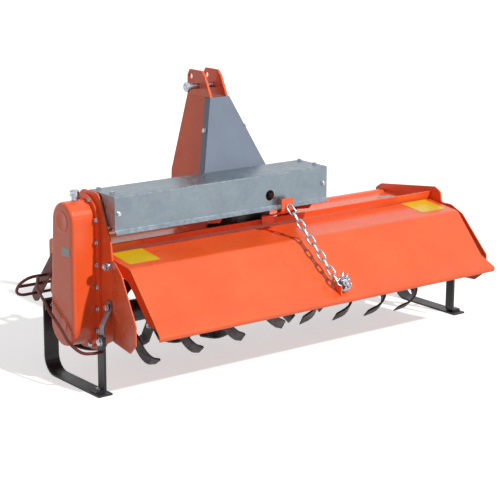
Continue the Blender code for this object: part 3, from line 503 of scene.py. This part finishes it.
def rounded_box(width: float, height: float, radius: float, steps: int = 4) -> list[tuple[float, float]]:
    """Outline of a rectangle with round corners, about its middle."""
    points = []
    for quarter, (sx, sy) in enumerate(((1, 1), (-1, 1), (-1, -1), (1, -1))):
        for step in range(steps + 1):
            turn = math.pi / 2.0 * (quarter + step / steps)
            points.append((sx * (width / 2.0 - radius) + radius * math.cos(turn),
                           sy * (height / 2.0 - radius) + radius * math.sin(turn)))
    return points


@dataclass(frozen=True)
class HexBolt:
    """Hexagon-head bolt with its washer, drawn by its thread size as the standards give it."""

    thread: float
    washer: float = 1.05       # washer radius in thread diameters
    head: float = 0.64         # head height in thread diameters
    nut: float = 0.80          # nut height in thread diameters
    flats: float = 0.92        # corner radius of the hexagon in thread diameters
    thick: float = 0.17        # washer thickness in thread diameters

    def add_washer(self, shape: Shape, place: Matrix) -> None:
        """Lays the washer on the XY plane of a frame."""
        rim, thick = self.washer * self.thread, self.thick * self.thread
        shape.lathe(place, ((rim * 0.97, -0.0004), (rim, thick * 0.3), (rim, thick * 0.7),
                            (rim * 0.95, thick)))

    def add(self, shape: Shape, point: Vector, normal: Sequence[float], turn: float = 0.3) -> None:
        """Sets washer and head on a surface, looking along the normal."""
        place, d = placed(point, normal, turn), self.thread
        thick = self.thick * d
        self.add_washer(shape, place)
        low, high, corner = thick * 0.9, thick + self.head * d, self.flats * d
        shape.lathe(place, ((corner, low), (corner, high - 0.10 * d), (corner * 0.84, high)), 6)

    def add_nut(self, shape: Shape, point: Vector, normal: Sequence[float], turn: float = 0.5) -> None:
        """Sets washer, nut and the thread's end on a surface, looking along the normal."""
        place, d = placed(point, normal, turn), self.thread
        thick = self.thick * d
        self.add_washer(shape, place)
        low, high, corner = thick * 0.9, thick + self.nut * d, self.flats * d
        shape.lathe(place, ((corner * 0.9, low), (corner, low + 0.1 * d), (corner, high - 0.1 * d),
                            (corner * 0.84, high)), 6)
        threads = []
        for step in range(5):
            threads += [(0.50 * d, high + 0.05 * d * step), (0.44 * d, high + 0.05 * d * (step + 0.5))]
        shape.lathe(place, threads + [(0.36 * d, high + 0.25 * d)], 16)


M12, M10, M8 = HexBolt(0.012), HexBolt(0.010), HexBolt(0.008)


def arc(centre: Vector, radius: float, plane: tuple[Vector, Vector], start: float, end: float,
        steps: int) -> list[Vector]:
    """Points on an arc, with its plane given by two unit vectors."""
    turns = [start + (end - start) * i / steps for i in range(steps + 1)]
    return [centre + (plane[0] * math.cos(t) + plane[1] * math.sin(t)) * radius for t in turns]


def line(start: Vector, end: Vector, step: float = 0.002) -> list[Vector]:
    """Points along a straight run, at most one step apart."""
    count = max(1, math.ceil((end - start).length / step))
    return [start.lerp(end, i / count) for i in range(count + 1)]


def weld(shape: Shape, start: Vector, end: Vector, leg: float = 0.003) -> None:
    """Lays a rippled weld bead between two points."""
    shape.sweep(line(start, end), leg, 8, ripple=RIPPLE, ripple_length=RIPPLE_LENGTH)


# ---- Hood ---------------------------------------------------------------------------------
@dataclass
class Hood:
    """Deck, side plates, wings and front beam, with their welds, bolts and the blank data plate."""

    weld_x: float = 0.684
    weld_ends: tuple[float, float] = (-0.030, 0.185)
    deck_top: float = 0.394
    beam_welds: tuple[float, ...] = (-0.585, -0.30, 0.05, 0.33, 0.585)
    beam_weld_half: float = 0.012
    beam_edge: tuple[float, float] = (0.2125, 0.386)       # y, z
    bearing: Triple = (0.7023, ROTOR_AXIS_Y, 0.191)
    bearing_circle: float = 0.045
    bearing_bolts: int = 6
    plate: tuple[float, float] = (0.628, 0.095)            # x, y
    plate_size: tuple[float, float] = (0.060, 0.070)

    def build(self) -> None:
        """Adds the welds, the bolts round the right bearing and the blank plate on the deck."""
        beads = Shape("hood_welds")
        for _, sign in SIDES:
            start, end = (at(sign * self.weld_x, y, self.deck_top + 0.001) for y in self.weld_ends)
            weld(beads, start, end)
        for x in self.beam_welds:
            weld(beads, at(x - self.beam_weld_half, *self.beam_edge),
                 at(x + self.beam_weld_half, *self.beam_edge), BEAD)
        beads.publish(Finish.WELD, "chassis")
        bolts = Shape("bearing_bolts")
        for index in range(self.bearing_bolts):
            turn = 2.0 * math.pi * (index + 0.5) / self.bearing_bolts
            x, y, z = self.bearing
            M10.add(bolts, at(x, y + self.bearing_circle * math.cos(turn),
                              z + self.bearing_circle * math.sin(turn)), Facing.RIGHT.value)
        bolts.publish(Finish.ZINC, "chassis")
        plate = Shape("deck_data_plate")
        plate.slab(placed(at(*self.plate, self.deck_top + LIFT), Facing.UP.value),
                   rounded_box(*self.plate_size, 0.004), FOIL)
        plate.publish(Finish.SILVER_VINYL, "chassis")

    def dress(self) -> None:
        """Paints the sheet metal."""
        sides = [f"{name}_{side}" for name in ("side_plate", "wing") for side, _ in SIDES]
        dress(["deck_hood", "front_beam", "rotor_bearing_right"] + sides, Finish.ORANGE)


# ---- Chain drive --------------------------------------------------------------------------
@dataclass
class ChainDrive:
    """Chain case with its bolted flange, pressed bosses and blank plate, and the tube that drives it."""

    top: tuple[float, float, float] = (0.008, 0.514, 0.060)        # y, z, radius
    bottom: tuple[float, float, float] = (0.020, 0.191, 0.070)
    flange_face: float = -0.7017
    case_face: float = -0.7800
    bolt_offset: float = 0.0085
    bolt_count: int = 16
    boss_radii: tuple[float, float] = (0.036, 0.030)
    plate: tuple[float, float] = (-0.012, 0.424)           # y, z
    plate_size: tuple[float, float] = (0.046, 0.026)

    def outline(self, offset: float, count: int) -> list[tuple[float, float]]:
        """Equally spaced (y, z) points on the case's outline moved outwards.

        Args:
            offset: distance outwards.
            count: number of points.

        Returns:
            The points, from the foot of the rear edge round the top.
        """
        (y1, z1, r1), (y2, z2, r2) = self.top, self.bottom
        lean = math.atan2(y1 - y2, z1 - z2)
        tilt = math.asin((r2 - r1) / math.hypot(y1 - y2, z1 - z2))
        dense: list[tuple[float, float]] = []
        for (y, z, r), begin, finish in ((self.top, -tilt, math.pi + tilt),
                                         (self.bottom, math.pi + tilt, 2.0 * math.pi - tilt)):
            for step in range(41):
                turn = begin + (finish - begin) * step / 40 - lean
                dense.append((y + (r + offset) * math.cos(turn), z + (r + offset) * math.sin(turn)))
        dense.append(dense[0])
        lengths = [math.dist(a, b) for a, b in zip(dense, dense[1:])]
        pitch, points, run, target = sum(lengths) / count, [], 0.0, 0.0
        for start, end, length in zip(dense, dense[1:], lengths):
            while length > 0.0 and target <= run + length and len(points) < count:
                share = (target - run) / length
                points.append((start[0] + (end[0] - start[0]) * share,
                               start[1] + (end[1] - start[1]) * share))
                target += pitch
            run += length
        return points

    def build(self) -> None:
        """Adds the flange bolts, the pressed bosses and the blank plate."""
        bolts = Shape("chain_case_bolts")
        for index, (y, z) in enumerate(self.outline(self.bolt_offset, self.bolt_count)):
            M8.add(bolts, at(self.flange_face, y, z), Facing.LEFT.value, 0.4 * index)
        bolts.publish(Finish.ZINC, "chassis")
        boss = Shape("chain_case_bosses")
        for (y, z, _), radius in zip((self.top, self.bottom), self.boss_radii):
            boss.lathe(placed(at(self.case_face, y, z), Facing.LEFT.value),
                       ((radius, -0.0006), (radius - 0.003, 0.0014), (radius - 0.007, 0.0016),
                        (radius - 0.012, 0.0004)), 40)
        boss.publish(Finish.ORANGE, "chassis")
        plate = Shape("chain_case_data_plate")
        plate.slab(placed(at(self.case_face - LIFT, *self.plate), Facing.LEFT.value),
                   rounded_box(*self.plate_size, 0.003), FOIL)
        plate.publish(Finish.SILVER_VINYL, "chassis")

    def dress(self) -> None:
        """Paints the case and the drive under the cover, and plates the filler cap."""
        dress(["chain_case", "chain_case_flange"], Finish.ORANGE)
        dress(["drive_tube", "gearbox"], Finish.BLACK)
        dress(["filler_cap"], Finish.ZINC)


# ---- Shaft cover --------------------------------------------------------------------------
@dataclass
class ShaftCover:
    """Galvanised cover over the drive tube, with its end plates, supports and bolts."""

    rear: float = -0.138
    top: float = 0.602
    rear_bolts: tuple[tuple[float, float], ...] = ((-0.671, 0.549), (0.118, 0.547))
    top_bolts: tuple[tuple[float, float], ...] = ((-0.660, -0.010), (-0.661, -0.088), (0.120, -0.013),
                                                  (0.120, -0.092))

    def build(self) -> None:
        """Adds the bolts that hold the cover."""
        bolts = Shape("shaft_cover_bolts")
        for x, z in self.rear_bolts:
            M8.add(bolts, at(x, self.rear, z), Facing.REAR.value)
        for x, y in self.top_bolts:
            M8.add(bolts, at(x, y, self.top), Facing.UP.value)
        bolts.publish(Finish.ZINC, "chassis")

    def dress(self) -> None:
        """Galvanises the sheets and paints the supports."""
        dress(["shaft_cover"] + [f"shaft_cover_end_{side}" for side, _ in SIDES], Finish.GALVANISED)
        dress([f"cover_support_{side}" for side, _ in SIDES], Finish.ORANGE)


# ---- Tailgate -----------------------------------------------------------------------------
@dataclass
class Tailgate:
    """Hinged rear panel with hinge nuts and two blank yellow labels."""

    label_size: tuple[float, float] = (0.112, 0.106)
    slope_front: tuple[float, float] = (-0.061, 0.410)   # y, z of the upper slope's two ends
    slope_rear: tuple[float, float] = (-0.200, 0.393)
    label_middle: float = 0.36
    label_x: float = 0.596

    def build(self) -> None:
        """Adds the labels and the hinge nuts."""
        (y1, z1), (y2, z2) = self.slope_front, self.slope_rear
        share = self.label_middle
        normal = Vector((0.0, z2 - z1, y1 - y2)).normalized()
        for side, sign in SIDES:
            label = Shape(f"yellow_label_{side}")
            point = at(sign * self.label_x, y1 + (y2 - y1) * share, z1 + (z2 - z1) * share) + normal * 0.0004
            label.slab(placed(point, normal), rounded_box(*self.label_size, 0.004), 0.0005)
            label.publish(Finish.YELLOW_VINYL, "tailgate")
        nuts = Shape("hinge_nuts")
        for side, sign in SIDES:
            low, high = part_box(f"tailgate_pin_{side}")
            end = high.x if sign > 0.0 else low.x
            M12.add_nut(nuts, Vector((end, (low.y + high.y) / 2.0, (low.z + high.z) / 2.0)),
                        sideways(sign).value)
        nuts.publish(Finish.ZINC, "chassis")

    def dress(self) -> None:
        """Paints the panel and plates the hinge pins."""
        dress(["tailgate_panel", "chain_bracket", "chain_hook"], Finish.ORANGE)
        dress([f"tailgate_pin_{side}" for side, _ in SIDES], Finish.ZINC)


@dataclass
class LiftChain:
    """Short-link chain from the bracket on the hood to the hook on the tailgate, and its gathered end."""

    top: Triple = (-0.048, -0.1675, 0.499)
    foot: Triple = (0.013, -0.346, 0.2738)
    wire: float = 0.0033
    half_width: float = 0.0092     # middle of the link to the middle of its wire
    link_count: int = 10
    crease: float = math.radians(60.0)
    end_links: tuple[tuple[Triple, Triple], ...] = (
        ((0.026, -0.352, 0.262), (0.3, 0.9, 0.5)), ((0.034, -0.347, 0.276), (0.9, -0.2, 0.5)),
        ((0.030, -0.345, 0.290), (0.5, 0.3, 0.9)), ((0.040, -0.350, 0.266), (0.2, -0.4, 1.0)),
        ((0.037, -0.356, 0.284), (1.0, 0.5, -0.1)), ((0.030, -0.358, 0.272), (0.6, 0.1, -0.8)),
        ((0.044, -0.349, 0.280), (0.4, 0.2, 0.9)), ((0.022, -0.350, 0.280), (0.8, 0.1, 0.6)),
        ((0.046, -0.353, 0.270), (-0.7, 0.1, 0.7)), ((0.034, -0.356, 0.258), (0.9, 0.1, 0.2)),
    )

    def link(self, shape: Shape, middle: Vector, along: Vector, across: Vector, pitch: float) -> None:
        """One oval link.

        Args:
            shape: mesh that takes the link.
            middle: centre of the link.
            along: unit vector along the chain.
            across: unit vector across the link's opening.
            pitch: distance to the next link.
        """
        reach = pitch / 2.0 + self.wire - self.half_width
        plane = (across, along)
        path = arc(middle + along * reach, self.half_width, plane, 0.0, math.pi, 8)
        path += arc(middle - along * reach, self.half_width, plane, math.pi, 2.0 * math.pi, 8)
        shape.sweep(path, self.wire, 8, closed=True)

    def build(self) -> None:
        """Adds the chain, in a straight run from hood to tailgate, and its gathered end."""
        start, end = at(*self.top), at(*self.foot)
        along = (end - start).normalized()
        across = along.cross(Vector((0.35, 0.0, 1.0))).normalized()
        other = along.cross(across)
        pitch = (end - start).length / self.link_count
        chain = Shape("lift_chain_links")
        for index in range(self.link_count):
            middle = start + along * pitch * (index + 0.5)
            self.link(chain, middle, along, across if index % 2 else other, pitch)
        piece = chain.publish(Finish.ZINC, "", self.crease)
        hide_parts("lift_chain")
        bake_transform(piece)
        bundle = Shape("spare_chain_links")
        for point, direction in self.end_links:
            aim = Vector(direction).normalized()
            self.link(bundle, at(*point), aim, aim.orthogonal().normalized(), pitch)
        spare = bundle.publish(Finish.ZINC, "tailgate", self.crease)
        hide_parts("chain_surplus")


# ---- Tower and hitch ----------------------------------------------------------------------
@dataclass
class Tower:
    """Top-link tower with its grey guard, the pin and the welds at its foot."""

    middle: float = -0.095
    foot_half: float = 0.140
    foot_ends: tuple[float, float] = (0.048, 0.170)
    foot_z: float = 0.3955
    guard_bolt: Triple = (0.0795, 0.113, 0.714)    # out from the middle, y, z
    guard_lean: float = 0.36                       # how far the guard's flanges look up
    ring_inset: float = 0.006
    ring_drop: float = 0.012
    ring_radius: float = 0.014
    ring_wire: float = 0.0016

    def build(self) -> None:
        """Adds the welds, the bolts of the guard and the pin's split ring."""
        beads = Shape("tower_welds")
        for _, sign in SIDES:
            x = self.middle + sign * (self.foot_half + 0.001)
            rear, front = self.foot_ends
            weld(beads, at(x, rear, self.foot_z), at(x, front, self.foot_z), BEAD)
        beads.publish(Finish.WELD, "chassis")
        bolts = Shape("tower_guard_bolts")
        for _, sign in SIDES:
            out, y, z = self.guard_bolt
            M8.add(bolts, at(self.middle + sign * out, y, z), (sign, 0.0, self.guard_lean))
        bolts.publish(Finish.ZINC, "chassis")
        rings = Shape("top_pin_ring")
        low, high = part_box("top_link_pin")
        centre = Vector((high.x - self.ring_inset, (low.y + high.y) / 2.0,
                         (low.z + high.z) / 2.0 - self.ring_drop))
        rings.sweep(arc(centre, self.ring_radius, ACROSS_X, 0.0, 1.9 * math.pi, 24), self.ring_wire, 8)
        rings.publish(Finish.ZINC, "chassis")

    def dress(self) -> None:
        """Paints the plates and the guard and plates the pin."""
        dress([f"tower_plate_{side}" for side, _ in SIDES], Finish.ORANGE)
        dress(["tower_guard"], Finish.TOWER_GREY)
        dress(["top_link_pin"], Finish.ZINC)


@dataclass
class Hitch:
    """Lower hitch clevises on the beam, with their pins and bolts, and the input shaft."""

    pto_x: float = -0.095
    pto_z: float = 0.487
    shaft_rear: float = 0.1683
    shaft_front: float = 0.2863
    outer: float = 0.0174
    inner: float = 0.0145
    splines: int = 6
    clevis_bolt: Triple = (0.012, 0.018, 0.0345)           # in from the clevis's sides, rear and top
    cover_bolts: int = 8
    cover_circle: tuple[float, float] = (0.058, 0.052)     # half width and half height of the bolt ring
    cover_y: float = 0.168
    top_bolts: tuple[tuple[float, float], ...] = ((-0.150, 0.000), (-0.150, 0.140), (-0.040, 0.000),
                                                  (-0.040, 0.140))
    top_z: float = 0.566

    def build(self) -> None:
        """Adds the clevis bolts, the gearbox bolts and the splined shaft."""
        bolts = Shape("hitch_bolts")
        for side, _ in SIDES:
            low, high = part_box(f"hitch_clevis_{side}")
            inward, forward, down = self.clevis_bolt
            for x in (low.x + inward, high.x - inward):
                M12.add(bolts, Vector((x, low.y + forward, high.z - down)), Facing.UP.value)
        half_width, half_height = self.cover_circle
        for index in range(self.cover_bolts):
            turn = 2.0 * math.pi * (index + 0.5) / self.cover_bolts
            M8.add(bolts, at(self.pto_x + half_width * math.cos(turn), self.cover_y,
                             self.pto_z + half_height * math.sin(turn)), Facing.FRONT.value)
        for x, y in self.top_bolts:
            M8.add(bolts, at(x, y, self.top_z), Facing.UP.value)
        bolts.publish(Finish.ZINC, "chassis")
        shaft = Shape("splined_input_shaft")
        place = placed(at(self.pto_x, self.shaft_rear, self.pto_z), Facing.FRONT.value)
        length = self.shaft_front - self.shaft_rear
        rings = []
        for share, scale in ((0.0, 1.0), (0.30, 1.0), (0.60, 1.0), (0.62, 0.86), (0.68, 0.86), (0.70, 1.0),
                             (0.96, 1.0), (1.0, 0.86)):
            ring = []
            for index in range(self.splines):
                for part, radius in ((0.0, self.inner), (0.24, self.inner), (0.30, self.outer),
                                     (0.70, self.outer), (0.76, self.inner)):
                    turn = 2.0 * math.pi * (index + part) / self.splines
                    reach = radius * scale
                    ring.append(place @ Vector((reach * math.cos(turn), reach * math.sin(turn),
                                                share * length)))
            rings.append(ring)
        shaft.rings(rings)
        piece = shaft.publish(Finish.SHAFT, "input_shaft")
        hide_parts("pto_shaft")

    def dress(self) -> None:
        """Paints the clevises, plates the pins and moulds the guard."""
        dress([f"hitch_clevis_{side}" for side, _ in SIDES], Finish.ORANGE)
        dress([f"lower_pin_{side}" for side, _ in SIDES], Finish.ZINC)
        dress(["pto_guard"], Finish.PLASTIC)


# ---- Rotor --------------------------------------------------------------------------------
@dataclass
class Rotor:
    """Rotor tube and its flanges of blades, with blade bolts and flange welds."""

    flanges_per_side: int = 4
    blades: int = 4
    first: float = math.radians(-172.0)
    phase: float = math.radians(7.0)       # from each flange to the next one outwards
    axis_z: float = 0.191
    blade_face: float = 0.0107
    bolt_radii: tuple[float, float] = (0.0585, 0.0775)
    flange_face: float = 0.004
    weld_out: float = 0.0052       # middle of the flange to its weld
    weld_ring: float = 0.0362
    weld_leg: float = 0.0028

    def build(self) -> None:
        """Adds two bolts to each blade and a weld round each flange."""
        bolts, beads = Shape("blade_bolts"), Shape("flange_welds")
        for flange in range(2 * self.flanges_per_side):
            low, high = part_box(f"rotor_blades_{flange + 1}")
            x = (low.x + high.x) / 2.0
            half = math.copysign(1.0, x)
            step = flange - self.flanges_per_side if half > 0.0 else self.flanges_per_side - 1 - flange
            for blade in range(self.blades):
                sign = half if blade % 2 else -half
                turn = 2.0 * math.pi * blade / self.blades + self.first + self.phase * step
                for radius in self.bolt_radii:
                    y, z = ROTOR_AXIS_Y + radius * math.cos(turn), self.axis_z + radius * math.sin(turn)
                    M10.add(bolts, at(x + sign * self.blade_face, y, z), (sign, 0.0, 0.0), turn)
                    M10.add_nut(bolts, at(x - sign * self.flange_face, y, z), (-sign, 0.0, 0.0), turn)
            for side in (-1.0, 1.0):
                centre = at(x + side * self.weld_out, ROTOR_AXIS_Y, self.axis_z)
                ring = arc(centre, self.weld_ring, ACROSS_X, 0.0, 2.0 * math.pi, 90)[:-1]
                beads.sweep(ring, self.weld_leg, 8, closed=True, ripple=RIPPLE, ripple_length=RIPPLE_LENGTH)
        bolts.publish(Finish.ZINC, "rotor")
        beads.publish(Finish.FORGED, "rotor")

    def dress(self) -> None:
        """Finishes the tube and the blades."""
        dress(["rotor_tube"], Finish.BLACK)
        dress([f"rotor_blades_{number + 1}" for number in range(2 * self.flanges_per_side)],
              Finish.FORGED)


# ---- Guards and skids ---------------------------------------------------------------------
@dataclass
class Guards:
    """Ladder guard of round bars, side hoops and depth skids, with their bolts."""

    strut_bolt: Triple = (0.7336, -0.1225, 0.160)
    plate_bolt: Triple = (0.7040, -0.115, 0.262)
    foot_bolt: Triple = (0.742, -0.1225, 0.0085)
    bracket_bolt: Triple = (0.742, 0.1437, 0.222)

    def build(self) -> None:
        """Adds the bolts of arms, struts, posts and brackets."""
        bolts = Shape("guard_and_skid_bolts")
        for _, sign in SIDES:
            out = sideways(sign)
            for size, (x, y, z), facing in ((M12, self.strut_bolt, out), (M10, self.plate_bolt, out),
                                            (M12, self.foot_bolt, Facing.UP),
                                            (M10, self.bracket_bolt, Facing.REAR)):
                size.add(bolts, at(sign * x, y, z), facing.value)
        bolts.publish(Finish.ZINC, "chassis")

    def dress(self) -> None:
        """Primes the guard and enamels the skids."""
        dress(["front_guard"] + [f"side_hoop_{side}" for side, _ in SIDES], Finish.DARK_RED)
        dress([f"skid_{part}{side}" for part in ("", "post_", "bracket_") for side, _ in SIDES],
              Finish.BLACK)
        dress([f"skid_strut_{side}" for side, _ in SIDES], Finish.GALVANISED)


# ---- Studio -------------------------------------------------------------------------------
@dataclass
class Studio:
    """White floor, white surroundings, soft lamps and the camera."""

    azimuth: float = math.radians(-37.805)
    elevation: float = math.radians(14.379)
    roll: float = math.radians(0.294)
    eye: Triple = (-3.2207, -4.0930, 1.6040)
    lens: float = 116.78
    shift: tuple[float, float] = (-0.01366, 0.02593)
    ambient: float = 0.25
    key_towards: Triple = (0.20, -0.74, 0.64)
    key_strength: float = 2.75
    key_width: float = 2.0
    key_colour: str = "#FFF8F0"
    floor_lift: float = 0.55
    floor_bounce: str = "#9C9C9C"   # what the floor throws back on the machine

    def camera(self) -> None:
        """Sets the camera."""
        sin_a, cos_a = math.sin(self.azimuth), math.cos(self.azimuth)
        level = math.cos(self.elevation)
        back = Vector((sin_a * level, -cos_a * level, math.sin(self.elevation)))
        right = Vector((cos_a, sin_a, 0.0))
        up = back.cross(right)
        side = right * math.cos(self.roll) + up * math.sin(self.roll)
        top = up * math.cos(self.roll) - right * math.sin(self.roll)
        data = bpy.data.cameras.new("camera")
        data.lens, data.sensor_width = self.lens, 36.0
        data.shift_x, data.shift_y = self.shift
        camera = bpy.data.objects.new("camera", data)
        axes = Matrix((side, top, back)).transposed().to_4x4()
        camera.matrix_world = Matrix.Translation(at(*self.eye)) @ axes
        bpy.context.scene.collection.objects.link(camera)
        bpy.context.scene.camera = camera

    def sun(self, name: str, towards: Triple, strength: float, angle: float, colour: str) -> None:
        """Adds a far lamp.

        Args:
            name: name of the lamp.
            towards: direction from the machine to the lamp.
            strength: light that a face square to it receives.
            angle: apparent width of the lamp in degrees, which softens the shadows.
            colour: sRGB hex colour.
        """
        data = bpy.data.lights.new(name, "SUN")
        data.energy, data.angle = strength, math.radians(angle)
        data.color = srgb(colour)[:3]
        lamp = bpy.data.objects.new(name, data)
        lamp.matrix_world = placed(Vector(towards), towards)
        bpy.context.scene.collection.objects.link(lamp)

    def floor(self) -> None:
        """Lays a pale floor that turns white to the eye yet keeps the machine's shadow."""
        grid = bmesh.new()
        bmesh.ops.create_grid(grid, x_segments=2, y_segments=2, size=30.0)
        data = bpy.data.meshes.new("floor")
        grid.to_mesh(data)
        grid.free()
        material = bpy.data.materials.new("white_studio_floor")
        material.use_nodes = True
        tree = material.node_tree
        shader = tree.nodes["Principled BSDF"]
        coords = add_node(tree, "TexCoord").outputs["Object"]
        cloud = add_node(tree, "TexNoise", {"Vector": coords, "Scale": 1.5})
        seen = self.seen(tree)
        pale = ramp(tree, cloud.outputs["Fac"], ((0.3, "#EDEDED"), (0.7, "#F2F2F2")))
        laid = add_node(tree, "MixRGB", {"Fac": seen, "Color1": srgb(self.floor_bounce), "Color2": pale})
        tree.links.new(laid.outputs["Color"], shader.inputs["Base Color"])
        shader.inputs["Roughness"].default_value = 0.9
        lift = add_node(tree, "Math", {0: seen, 1: self.floor_lift}, operation="MULTIPLY").outputs["Value"]
        tree.links.new(lift, shader.inputs["Emission Strength"])
        shader.inputs["Emission Color"].default_value = (1.0, 1.0, 1.0, 1.0)
        data.materials.append(material)
        floor = bpy.data.objects.new("floor", data)
        bpy.context.scene.collection.objects.link(floor)

    def seen(self, tree: bpy.types.NodeTree) -> bpy.types.NodeSocket:
        """1 where the eye, a mirror or glass looks at the backdrop, and 0 where it only gives light."""
        path = add_node(tree, "LightPath")
        first = add_node(tree, "Math", {0: path.outputs["Is Camera Ray"], 1: path.outputs["Is Glossy Ray"]},
                         operation="MAXIMUM")
        return add_node(tree, "Math", {0: first.outputs["Value"], 1: path.outputs["Is Transmission Ray"]},
                        operation="MAXIMUM").outputs["Value"]

    def surroundings(self) -> None:
        """Makes the world white to the eye and a softer light on the machine."""
        world = bpy.data.worlds.new("studio")
        bpy.context.scene.world = world
        world.use_nodes = True
        tree = world.node_tree
        background = tree.nodes["Background"]
        background.inputs["Color"].default_value = srgb("#FFFFFF")
        tree.links.new(span(tree, self.seen(tree), self.ambient, 1.0), background.inputs["Strength"])

    def build(self) -> None:
        """Sets camera, lamps, floor and surroundings."""
        bpy.context.scene.view_settings.view_transform = "Standard"
        self.camera()
        self.sun("key_lamp", self.key_towards, self.key_strength, self.key_width, self.key_colour)
        self.floor()
        self.surroundings()


def main() -> None:
    """Builds every sub-assembly in order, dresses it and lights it."""
    logging.basicConfig(level=logging.INFO, format="%(name)s: %(message)s")
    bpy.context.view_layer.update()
    for assembly in (Hood(), ChainDrive(), ShaftCover(), Tailgate(), LiftChain(), Tower(), Hitch(), Rotor(),
                     Guards()):
        LOG.info("building %s", type(assembly).__name__)
        assembly.build()
        if hasattr(assembly, "dress"):
            assembly.dress()
    Studio().build()


if __name__ == "__main__":
    main()
